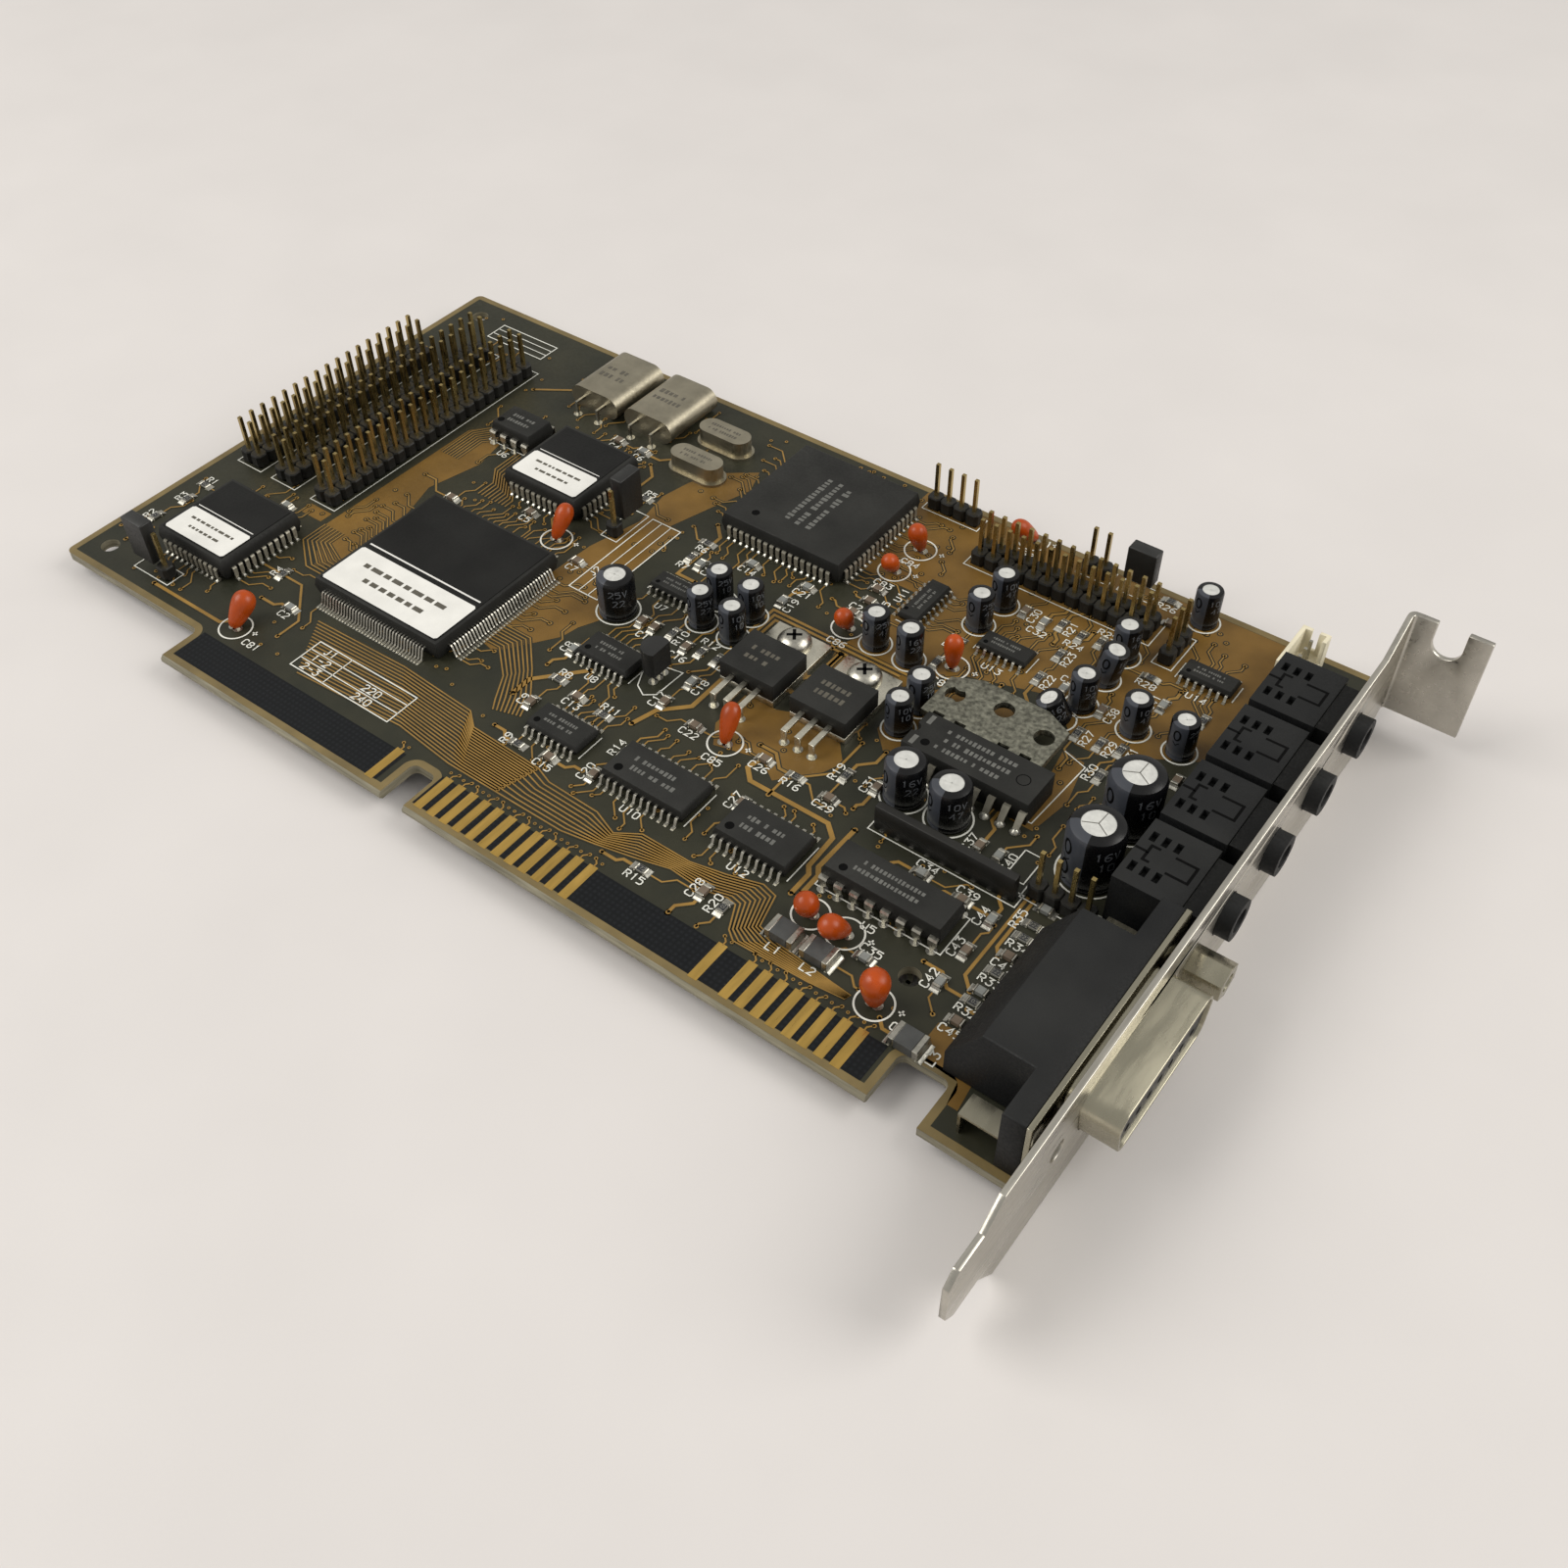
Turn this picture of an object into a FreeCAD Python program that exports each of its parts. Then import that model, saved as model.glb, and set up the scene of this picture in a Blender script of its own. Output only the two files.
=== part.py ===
"""Multimedia expansion card with a 16-bit edge connector, lying component side up.

+X points along the edge connector towards the metal bracket, +Y from the contacts to the card's
rear edge and +Z out of the component side. The origin is under the middle of the card, at the
height of the bracket's lower edge, which the card rests on. Lengths are in millimetres.
"""
import FreeCAD, Part
import math
import operator
import os
import Sketcher
from FreeCAD import Rotation, Vector

doc = FreeCAD.newDocument("ExpansionCard")
sheet = doc.addObject("Spreadsheet::Sheet", "Dims")

# Driving sizes
SIZES = {
    # Frame: where the first edge contact lies, and how far the bracket hangs below the board's face
    "first_contact_x": 63.835,
    "contact_end_y": -42.7,
    "bracket_drop": 4.2,
    "layout_grid": 0.635,
    # Board and edge connector
    "board_thickness": 1.6,
    "board_reach": 166.2,
    "board_depth": 106.0,
    "board_gap": 0.3,
    "board_corner": 1.2,
    "contact_pitch": 2.54,
    "contact_width": 1.5,
    "contact_length": 6.8,
    "contact_plating": 0.05,
    "row_gap": 10.16,
    "tab_overhang": 1.4,
    "tab_bevel": 0.5,
    "tab_step": 6.2,
    "first_tab_margin": 3.1,
    "last_tab_margin": 1.8,
    "key_margin": 3.66,
    "short_tab_margin": 2.46,
    "key_depth": 5.9,
    "skirt_offset": 10.6,
    "skirt_overhang": 1.1,
    "gap_depth": 6.75,
    "tooling_hole": 3.2,
    # Bracket
    "bracket_reach": 27.1,
    "bracket_thickness": 0.9,
    "plate_width": 18.4,
    "plate_overhang": 9.8,
    "tongue_length": 10.8,
    "tongue_width": 10.6,
    "tongue_rise": 4.8,
    "tongue_slant": 3.8,
    "tip_bevel": 1.9,
    "foot_height": 101.2,
    "foot_depth": 11.43,
    "foot_shift": 3.9,
    "flare_length": 6.0,
    "bend_radius": 0.5,
    "notch_width": 4.5,
    "notch_depth": 5.6,
    "notch_offset": 5.6,
    # Audio jacks
    "jack_pitch": 13.5,
    "jack_first": 86.3,
    "jack_axis": 6.2,
    "jack_width": 12.2,
    "jack_height": 10.0,
    "jack_length": 9.8,
    "jack_back": 13.2,
    "jack_nose_width": 10.6,
    "jack_nose_height": 9.3,
    "jack_collar": 6.2,
    "jack_collar_reach": 2.1,
    "jack_bore": 3.6,
    "jack_bore_depth": 14.0,
    "jack_slot_width": 0.9,
    "jack_slot_depth": 1.2,
    "fit_gap": 0.15,
    # Game port
    "port_middle": 19.6,
    "port_axis": 5.9,
    "flange_length": 39.1,
    "flange_height": 11.8,
    "flange_thickness": 0.8,
    "flange_setback": 1.4,
    "screw_spacing": 33.32,
    "screw_hole": 3.2,
    "shell_width": 24.7,
    "shell_height": 8.0,
    "shell_taper": 0.75,
    "shell_corner": 2.3,
    "shell_wall": 0.5,
    "shell_reach": 5.2,
    "ear_depth": 3.3,
    "port_body_width": 24.0,
    "port_body_back": 8.6,
    "port_body_top": 13.4,
    "port_body_heel": 4.0,
    "lock_width": 3.4,
    "lock_thickness": 0.4,
    "lock_length": 6.0,
    "jackscrew_flats": 4.75,
    "jackscrew_length": 5.2,
    "jackscrew_shank": 2.7,
    # Pin headers
    "pin_pitch": 2.54,
    "pin_side": 0.64,
    "pin_height": 8.9,
    "header_base": 2.5,
    "cap_length": 5.0,
    "cap_width": 2.4,
    "cap_height": 6.4,
    "tall_cap_height": 7.8,
    "wafer_length": 9.9,
    "wafer_depth": 4.6,
    "wafer_height": 6.2,
    "wafer_wall": 0.7,
    "wafer_floor": 1.8,
    "wafer_slot": 1.2,
    "wafer_pitch": 2.0,
    "wafer_pin": 0.5,
    "wafer_pin_height": 5.4,
    # Moulded chips
    "quad_body": 28.0,
    "quad_tip": 32.4,
    "quad_pitch": 0.65,
    "quad_top": 3.6,
    "quad_standoff": 0.4,
    "quad_lead_width": 0.3,
    "carrier_pitch": 1.27,
    "carrier_top": 4.4,
    "carrier_standoff": 0.6,
    "carrier_lead_width": 0.7,
    "carrier_lead": 0.4,
    "carrier_lead_top": 2.5,
    "large_carrier_body": 24.2,
    "small_carrier_body": 16.6,
    "draft": 0.35,
    "label_thickness": 0.1,
    "label_inset": 0.9,
    "dip_pitch": 2.54,
    "dip_rows": 7.62,
    "dip_body_width": 6.4,
    "dip_top": 4.0,
    "dip_standoff": 0.5,
    "dip_end": 0.9,
    "dip_lead_width": 1.2,
    "outline_pitch": 1.27,
    "outline_standoff": 0.15,
    "outline_end": 0.65,
    "outline_lead_width": 0.42,
    "narrow_body": 3.9,
    "narrow_tip": 6.0,
    "narrow_top": 1.7,
    "medium_body": 5.3,
    "medium_tip": 7.8,
    "medium_top": 2.0,
    "wide_body": 7.5,
    "wide_tip": 10.4,
    "wide_top": 2.5,
    "lead_thickness": 0.2,
    # Power parts
    "regulator_width": 10.2,
    "regulator_length": 8.8,
    "regulator_height": 4.5,
    "regulator_tab": 6.6,
    "regulator_tab_thickness": 1.3,
    "regulator_reach": 5.0,
    "regulator_lead_width": 0.9,
    "power_lead_thickness": 0.5,
    "screw_head": 5.6,
    "screw_head_height": 2.0,
    "amplifier_length": 21.4,
    "amplifier_width": 7.5,
    "amplifier_height": 4.3,
    "amplifier_reach": 2.2,
    "amplifier_notch": 1.8,
    "fin_length": 10.6,
    "fin_width": 20.4,
    "fin_shift": 2.0,
    "fin_thickness": 1.2,
    "fin_lift": 2.8,
    "fin_hole": 3.2,
    "fin_hole_pitch": 7.65,
    "fin_hole_inset": 3.6,
    "fin_hole_step": 1.5,
    "fin_waist": 0.55,
    "fin_corner": 4.6,
    "fin_corner_depth": 2.2,
    "fin_window": 1.9,
    "fin_window_depth": 0.9,
    "fin_window_pitch": 3.7,
    "network_length": 22.9,
    "network_thickness": 1.3,
    "network_height": 4.7,
    "transistor_width": 4.6,
    "transistor_height": 4.6,
    "transistor_lift": 2.0,
    # Crystals
    "can_width": 11.0,
    "can_length": 13.4,
    "can_thickness": 4.6,
    "can_lead_spacing": 4.88,
    "can_lead": 0.45,
    "low_can_length": 10.6,
    "low_can_width": 4.3,
    "low_can_height": 3.4,
    "low_can_flange": 0.5,
    # Capacitors
    "small_can": 4.3,
    "small_can_top": 6.9,
    "short_can_top": 4.9,
    "medium_can": 6.2,
    "medium_can_top": 7.7,
    "large_can": 8.4,
    "large_can_top": 10.4,
    "bead_width": 4.1,
    "bead_height": 5.8,
    "bead_lift": 0.8,
    "bead_lead": 0.5,
    # Surface-mount chips
    "chip_length": 2.0,
    "chip_width": 1.25,
    "resistor_height": 0.5,
    "capacitor_height": 0.9,
    "ferrite_length": 4.5,
    "ferrite_width": 3.2,
    "ferrite_height": 1.8,
    "terminal_length": 0.5,
}
for line, (alias, number) in enumerate(SIZES.items(), start=1):
    sheet.set(f"A{line}", alias)
    sheet.set(f"B{line}", str(number))
    sheet.setAlias(f"B{line}", alias)
doc.recompute()

# Contacts, leads and jacks by number; the layout's columns and rows that the board spans
LONG_CONTACTS = range(31)
SHORT_CONTACTS = range(18)
QUAD_LEADS = range(36)
LARGE_CARRIER_LEADS = range(17)
SMALL_CARRIER_LEADS = range(11)
AMPLIFIER_LEADS = range(9)
FIN_HOLES = (-1, 0, 1)
FIN_WINDOWS = (-2, -1, 1, 2)
JACKS = range(4)
COLUMNS = range(262)
ROWS = range(167)

# Contacts fitted on each side, counted from the bracket end of each row
FRONT_LONG = list(range(2, 10)) + [11] + list(range(20, 32))
FRONT_SHORT = [1]
BACK_LONG = [1, 2, 3, 5, 7, 9, 10, 13, 14, 15, 16, 17, 18, 21, 22, 23, 24, 25, 29, 31]
BACK_SHORT = [3, 4, 5, 8, 9, 10, 11, 16, 18]

# Places on the layout grid: columns from the first contact, rows from the contacts' ends
CONTROLLER = (-172, 59)
CODEC = (-106, 137)
FIRMWARE_CHIPS = [(-229, 39), (-172, 111)]
TIMER = (-18, 41)
EEPROM = (-197, 118)
MEDIUM_OUTLINE_16 = [(-116, 63), (-109, 37)]
NARROW_OUTLINE_14 = [(-119, 92), (-39, 122), (6, 142)]
TURNED_OUTLINE_16 = [(-65, 125)]
WIDE_OUTLINE_24 = [(-80, 37)]
WIDE_OUTLINE_20 = [(-50, 38)]
REGULATORS = [(-82, 65), (-61, 65)]
AMPLIFIER = (-23, 73)
NETWORK = (-15, 57)
TRANSISTOR = (-103, 65)
FLAT_CRYSTALS = [(-189, 138), (-169, 138)]
LOW_CRYSTALS = [(-148, 149), (-147, 135)]
DRIVE_HEADERS = [(-251, 66, 17), (-237, 66, 20), (-221, 66, 20)]
FEATURE_HEADER = (-39, 150, 13)
ROW_HEADERS = [(-79, 161, 4), (-36, 162, 2), (-24, 162, 2), (12, 61, 4), (-235, 19, 3)]
DEEP_HEADERS = [(-6, 147, 3), (-148, 105, 3)]
WAFER = (22, 156, 4)
SMALL_CANS = [(-108, 96), (-107, 87), (-98, 96), (-97, 87), (-67, 106), (-57, 106), (-46, 94), (-46, 85),
              (-50, 127), (-49, 137), (-15, 138), (-15, 128), (-15, 117), (-1, 117), (11, 117), (-5, 161)]
SHORT_CANS = [(-17, 110)]
MEDIUM_CANS = [(-127, 78), (-33, 68), (-21, 68)]
LARGE_CANS = [(12, 91), (12, 73)]
BEADS = [(-201, 16), (-159, 90), (-76, 57), (-30, 28), (-21, 28), (-6, 17), (-76, 107), (-78, 143),
         (-79, 132), (-47, 110), (-56, 164)]
# Parts that lean: degrees from upright, and the heading counted from +X towards +Y
LEANS = {(-201, 16): (45, 90), (-159, 90): (40, 90), (-76, 57): (40, 105), (-30, 28): (25, 285),
         (-21, 28): (40, 255), (-76, 107): (35, 285), (-78, 143): (20, 270), (-79, 132): (40, 285),
         (-56, 164): (45, 240), (-17, 110): (24, 210), (-15, 128): (10, 15)}
# A bead's rings from neck to crown: part of its height, and part of its width there
BEAD_SIDES = range(12)
BEAD_RINGS = [(0, 0.36), (0.3, 0.66), (0.62, 1), (0.86, 0.82), (1, 0.4)]
TOOLING_HOLES = [(-254, 18), (-253, 158), (-4, 27)]
FERRITES = [(-31, 20), (-22, 20), (5, 13)]
# Chips lying along X, then chips lying along Y
RESISTORS_ACROSS = [(10, 53), (10, 49), (10, 38), (10, 29), (-122, 50), (-105, 47), (-115, 28), (-56, 58),
                    (-67, 16), (-125, 112), (-254, 50), (-6, 135), (-15, 163), (-151, 117)]
RESISTORS_ALONG = [(-93, 41), (-46, 18), (-125, 105), (-110, 79), (-100, 78), (-95, 78), (-253, 43),
                   (-254, 33), (-207, 37), (-50, 118), (-51, 109), (-33, 139), (-28, 129), (-28, 119),
                   (-27, 138), (-22, 139), (-11, 108), (-5, 108), (0, 109), (0, 99), (11, 129), (-47, 65)]
CAPACITORS_ACROSS = [(-46, 57), (-17, 51), (-6, 50), (10, 58), (10, 43), (10, 32), (10, 23), (-14, 25),
                     (-114, 48), (-106, 29), (-85, 57), (-65, 58), (-194, 86), (-172, 94), (-148, 86),
                     (-110, 112), (-228, 57), (-195, 29), (-93, 113), (-77, 118), (-78, 112), (-78, 123),
                     (-11, 155), (-165, 133), (-174, 133)]
CAPACITORS_ALONG = [(-61, 44), (2, 49), (2, 39), (2, 29), (-122, 40), (-94, 31), (-39, 66), (-11, 65),
                    (-6, 65), (-126, 60), (-121, 104), (-95, 105), (-119, 78), (-115, 78), (-104, 77),
                    (-95, 68), (-96, 59), (-43, 138), (-37, 137), (-21, 119), (-10, 118), (1, 128),
                    (15, 108), (-52, 19)]


class Length:
    """A number together with the sheet formula that it comes from."""

    def __init__(self, value, text):
        self.value = value
        self.text = text

    def __float__(self):
        return self.value

    def __add__(self, other):
        return combine(self, "+", other)

    def __radd__(self, other):
        return combine(other, "+", self)

    def __sub__(self, other):
        return combine(self, "-", other)

    def __rsub__(self, other):
        return combine(other, "-", self)

    def __mul__(self, other):
        return combine(self, "*", other)

    def __rmul__(self, other):
        return combine(other, "*", self)

    def __truediv__(self, other):
        return combine(self, "/", other)

    def __neg__(self):
        return combine(0, "-", self)


OPERATIONS = {"+": operator.add, "-": operator.sub, "*": operator.mul, "/": operator.truediv}


def as_length(item):
    """Wrap a plain number, so that it can stand in a formula."""
    if isinstance(item, Length):
        return item
    return Length(float(item), repr(float(item)))


def combine(left, sign, right):
    left = as_length(left)
    right = as_length(right)
    return Length(OPERATIONS[sign](left.value, right.value), f"({left.text} {sign} {right.text})")


class SheetSizes:
    """Gives each sheet cell by its alias."""

    def __getattr__(self, alias):
        return Length(float(sheet.get(alias)), f"Dims.{alias}")


size = SheetSizes()
FACE = size.bracket_drop
ALONG_X = Rotation(Vector(0, 1, 0), 90)
UPRIGHT = Rotation()
nodes = {}


def across(column):
    """X of a layout column: spread over the board's reach, or on the plain grid beside the bracket."""
    if column < 0:
        return size.first_contact_x + column * size.board_reach / len(COLUMNS)
    return size.first_contact_x + column * size.layout_grid


def along(row):
    """Y of a layout row, spread over the board's depth."""
    return size.contact_end_y + row * size.board_depth / len(ROWS)


def node(label, thing):
    """Keep a finished sub-part under its own label."""
    thing.Label = label
    nodes[label] = thing
    return thing


def bind(thing, name, length):
    thing.setExpression(name, as_length(length).text)


def place(thing, corner, turn=UPRIGHT):
    thing.Placement = FreeCAD.Placement(Vector(), turn)
    for axis, length in zip("xyz", corner):
        bind(thing, f"Placement.Base.{axis}", length)


def block(name, lengths, corner):
    thing = doc.addObject("Part::Box", name)
    for side, length in zip(("Length", "Width", "Height"), lengths):
        bind(thing, side, length)
    place(thing, corner)
    return thing


def rod(name, diameter, height, foot, turn=UPRIGHT):
    thing = doc.addObject("Part::Cylinder", name)
    bind(thing, "Radius", diameter / 2)
    bind(thing, "Height", height)
    place(thing, foot, turn)
    return thing


def fuse(name, pieces):
    thing = doc.addObject("Part::MultiFuse", name)
    thing.Shapes = pieces
    thing.Refine = True
    return thing


def cut(name, base, tools):
    group = doc.addObject("Part::Compound", name + "_tools")
    group.Links = tools
    thing = doc.addObject("Part::Cut", name)
    thing.Base = base
    thing.Tool = group
    return thing


def outline_sketch(body, role, corners, level):
    """A closed sketch of straight sides whose corners follow the sheet."""
    sketch = body.newObject("Sketcher::SketchObject", body.Name + "_outline")
    plane = [item for item in body.Origin.OriginFeatures if item.Role == role][0]
    sketch.AttachmentSupport = [(plane, "")]
    sketch.MapMode = "FlatFace"
    bind(sketch, "AttachmentOffset.Base.z", level)
    spots = [(as_length(first), as_length(second)) for first, second in corners]
    last = len(spots) - 1
    for index, (first, second) in enumerate(spots):
        following = spots[0] if index == last else spots[index + 1]
        start = Vector(first.value, second.value, 0)
        end = Vector(following[0].value, following[1].value, 0)
        sketch.addGeometry(Part.LineSegment(start, end), False)
    for index in range(len(spots)):
        following = 0 if index == last else index + 1
        sketch.addConstraint(Sketcher.Constraint("Coincident", index, 2, following, 1))
    for index, spot in enumerate(spots):
        for kind, length in zip(("DistanceX", "DistanceY"), spot):
            number = sketch.addConstraint(Sketcher.Constraint(kind, -1, 1, index, 1, length.value))
            bind(sketch, f"Constraints[{number}]", length)
    return sketch


def pad(body, role, corners, start, thickness):
    """Pad an outline from start along the plane's own axis, towards plus."""
    flipped = role == "XZ_Plane"
    level = -as_length(start) if flipped else as_length(start)
    feature = body.newObject("PartDesign::Pad", body.Name + "_pad")
    feature.Profile = outline_sketch(body, role, corners, level)
    bind(feature, "Length", thickness)
    feature.Reversed = flipped
    doc.recompute()
    return feature


def new_body(name):
    return doc.addObject("PartDesign::Body", name)


def dress(body, kind, base, wanted, name, length):
    """Round or bevel those edges of a feature that a test picks out."""
    feature = body.newObject(kind, body.Name + "_" + name)
    picked = [f"Edge{number}" for number, edge in enumerate(base.Shape.Edges, start=1) if wanted(edge)]
    feature.Base = (base, picked)
    bind(feature, "Radius" if kind.endswith("Fillet") else "Size", length)
    doc.recompute()
    return feature


def runs_along(edge, axis):
    ends = [vertex.Point for vertex in edge.Vertexes]
    return len(ends) == 2 and abs((ends[1] - ends[0]).normalize().dot(axis)) > 0.999


def near(number, length):
    return abs(number - as_length(length).value) < 0.01


def bar(low, high):
    """A box between two corners."""
    low = Vector(*[float(item) for item in low])
    high = Vector(*[float(item) for item in high])
    return Part.makeBox(high.x - low.x, high.y - low.y, high.z - low.z, low)


def prism(corners, sweep):
    """A flat outline of points, swept straight."""
    points = [Vector(*[float(item) for item in corner]) for corner in corners]
    return Part.Face(Part.makePolygon(points + [points[0]])).extrude(Vector(*[float(item) for item in sweep]))


def solids(label, shapes):
    """A sub-part of separate solids that are all alike."""
    thing = doc.addObject("Part::Feature", label)
    thing.Shape = Part.makeCompound(shapes)
    return node(label, thing)


def four_ways(shapes, centre):
    """Repeat shapes at quarter turns about an upright axis."""
    turned = []
    for quarter in range(4):
        for shape in shapes:
            copy = shape.copy()
            copy.rotate(centre, Vector(0, 0, 1), 90 * quarter)
            turned.append(copy)
    return turned


def spread(count, pitch):
    """Offsets of a row of count items about its middle."""
    return [(index - (count - 1) / 2) * float(pitch) for index in range(count)]


def moulded(spot, length, width, standoff, top):
    """A moulded chip body: drafted up and down from its parting line."""
    x = float(across(spot[0]))
    y = float(along(spot[1]))
    low = float(FACE + standoff)
    high = float(FACE + top)
    slope = float(size.draft)
    wires = []
    for level, inset in ((low, slope), ((low + high) / 2, 0), (high, slope)):
        half_x = float(length) / 2 - inset
        half_y = float(width) / 2 - inset
        ring = [Vector(x - half_x, y - half_y, level), Vector(x + half_x, y - half_y, level),
                Vector(x + half_x, y + half_y, level), Vector(x - half_x, y + half_y, level)]
        wires.append(Part.makePolygon(ring + [ring[0]]))
    return Part.makeLoft(wires, True, True)


def board_outline():
    """The board's outline, with its two contact tabs and the skirt beside the bracket."""
    x0 = size.first_contact_x
    y0 = size.contact_end_y
    last_contact = x0 - (len(LONG_CONTACTS) - 1) * size.contact_pitch
    short_first = last_contact - size.row_gap
    short_last = short_first - (len(SHORT_CONTACTS) - 1) * size.contact_pitch
    left = x0 - size.board_reach
    right = x0 + size.bracket_reach - size.bracket_thickness - size.board_gap
    step = y0 + size.tab_step
    edge = y0 - size.tab_overhang
    key_top = y0 + size.key_depth
    gap_top = y0 + size.gap_depth
    skirt = y0 - size.skirt_overhang
    rear = y0 + size.board_depth
    short_left = short_last - size.short_tab_margin
    short_right = short_first + size.key_margin
    long_left = last_contact - size.last_tab_margin
    long_right = x0 + size.first_tab_margin
    skirt_left = x0 + size.skirt_offset
    return [(left, step), (short_left, step), (short_left, edge), (short_right, edge),
            (short_right, key_top), (long_left, key_top), (long_left, edge), (long_right, edge),
            (long_right, gap_top), (skirt_left, gap_top), (skirt_left, skirt), (right, skirt),
            (right, rear), (left, rear)]


def circuit_board():
    body = new_body("board_blank")
    blank = pad(body, "XY_Plane", board_outline(), FACE - size.board_thickness, size.board_thickness)
    edge_y = size.contact_end_y - size.tab_overhang
    bevel = dress(body, "PartDesign::Chamfer", blank,
                  lambda edge: runs_along(edge, Vector(1, 0, 0)) and near(edge.CenterOfMass.y, edge_y),
                  "bevel", size.tab_bevel)
    upright = Vector(0, 0, 1)
    dress(body, "PartDesign::Fillet", bevel,
          lambda edge: runs_along(edge, upright) and edge.CenterOfMass.y > float(edge_y) + 1,
          "corners", size.board_corner)
    drills = []
    for number, (column, row) in enumerate(TOOLING_HOLES, start=1):
        foot = (across(column), along(row), FACE - 2 * size.board_thickness)
        drills.append(rod(f"tooling_drill_{number}", size.tooling_hole, 3 * size.board_thickness, foot))
    node("circuit_board", cut("circuit_board", body, drills))


def edge_contacts():
    half = float(size.contact_width) / 2
    low = float(size.contact_end_y)
    high = float(size.contact_end_y + size.contact_length)
    front = (float(FACE), float(FACE + size.contact_plating))
    under = float(FACE - size.board_thickness)
    back = (under - float(size.contact_plating), under)
    short_start = (len(LONG_CONTACTS) - 1) * size.contact_pitch + size.row_gap
    fingers = []
    for numbers, start, levels in ((FRONT_LONG, 0, front), (FRONT_SHORT, short_start, front),
                                   (BACK_LONG, 0, back), (BACK_SHORT, short_start, back)):
        for number in numbers:
            x = float(size.first_contact_x - start - (number - 1) * size.contact_pitch)
            fingers.append(bar((x - half, low, levels[0]), (x + half, high, levels[1])))
    solids("edge_contacts", fingers)


def bracket_outline():
    """The bracket's plate seen along X, from the tongue to the widened end that carries the foot."""
    y0 = size.contact_end_y
    shoulder = y0 - size.plate_overhang
    tip = shoulder - size.tongue_length
    tongue_top = size.tongue_rise + size.tongue_width
    rear = y0 + size.foot_height + size.bracket_thickness
    flare_end = y0 + size.foot_height - size.bracket_thickness
    foot_top = size.plate_width + size.foot_shift
    corner = rear - 2 * size.bracket_thickness
    return [(shoulder, 0), (corner - size.foot_shift, 0), (corner, size.foot_shift), (rear, size.foot_shift),
            (rear, foot_top), (flare_end, foot_top), (flare_end - size.flare_length, size.plate_width),
            (shoulder, size.plate_width), (shoulder - size.tongue_slant, tongue_top),
            (tip + size.tip_bevel, tongue_top), (tip, tongue_top - size.tip_bevel),
            (tip, size.tongue_rise + size.tip_bevel), (tip + size.tip_bevel, size.tongue_rise),
            (shoulder - size.tongue_slant, size.tongue_rise)]


def d_outline(grow):
    """The game port's D section seen along X, wide side up, grown outwards by a wall."""
    middle = size.contact_end_y + size.port_middle
    axis = FACE + size.port_axis
    wide = size.shell_width / 2 + grow
    narrow = wide - 2 * size.shell_taper
    half = size.shell_height / 2 + grow
    return [(middle - narrow, axis - half), (middle + narrow, axis - half),
            (middle + wide, axis + half), (middle - wide, axis + half)]


def d_prism(name, grow, start, length):
    body = new_body(name)
    base = pad(body, "YZ_Plane", d_outline(grow), start, length)
    dress(body, "PartDesign::Fillet", base, lambda edge: runs_along(edge, Vector(1, 0, 0)),
          "corners", size.shell_corner + grow)
    return body


def jack_middle(number):
    return size.contact_end_y + size.jack_first - number * size.jack_pitch


def mounting_bracket():
    outer = size.first_contact_x + size.bracket_reach
    inner = outer - size.bracket_thickness
    foot_y = size.contact_end_y + size.foot_height
    foot_top = size.plate_width + size.foot_shift
    body = new_body("bracket_blank")
    pad(body, "YZ_Plane", bracket_outline(), inner, size.bracket_thickness)
    tip_x = outer + size.foot_depth
    foot_outline = [(inner, size.foot_shift), (tip_x, size.foot_shift), (tip_x, foot_top), (inner, foot_top)]
    foot = pad(body, "XZ_Plane", foot_outline, foot_y, size.bracket_thickness)
    upright = Vector(0, 0, 1)
    inside = dress(body, "PartDesign::Fillet", foot,
                   lambda edge: runs_along(edge, upright) and near(edge.CenterOfMass.x, outer)
                   and near(edge.CenterOfMass.y, foot_y), "inside_bend", size.bend_radius)
    dress(body, "PartDesign::Fillet", inside,
          lambda edge: runs_along(edge, upright) and near(edge.CenterOfMass.x, inner)
          and near(edge.CenterOfMass.y, foot_y + size.bracket_thickness), "outside_bend",
          size.bend_radius + size.bracket_thickness * 0.7)
    through = 3 * size.bracket_thickness
    start = inner - size.bracket_thickness
    tools = []
    for number in JACKS:
        middle = (start, jack_middle(number), FACE + size.jack_axis)
        wide = size.jack_collar + 2 * size.fit_gap
        tools.append(rod(f"jack_window_{number + 1}", wide, through, middle, ALONG_X))
    for side in (-1, 1):
        y = size.contact_end_y + size.port_middle + side * size.screw_spacing / 2
        spot = (start, y, FACE + size.port_axis)
        tools.append(rod("port_screw_window", size.screw_hole, through, spot, ALONG_X))
    tools.append(d_prism("port_window", size.fit_gap, start, through))
    notch_x = outer + size.notch_offset
    floor = foot_top - size.notch_depth + size.notch_width / 2
    depth_start = foot_y - size.bracket_thickness
    tools.append(block("notch_window", (size.notch_width, through, size.notch_depth),
                       (notch_x - size.notch_width / 2, depth_start, floor)))
    tools.append(rod("notch_end", size.notch_width, through, (notch_x, depth_start, floor),
                     Rotation(Vector(1, 0, 0), -90)))
    node("mounting_bracket", cut("mounting_bracket", body, tools))


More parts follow.
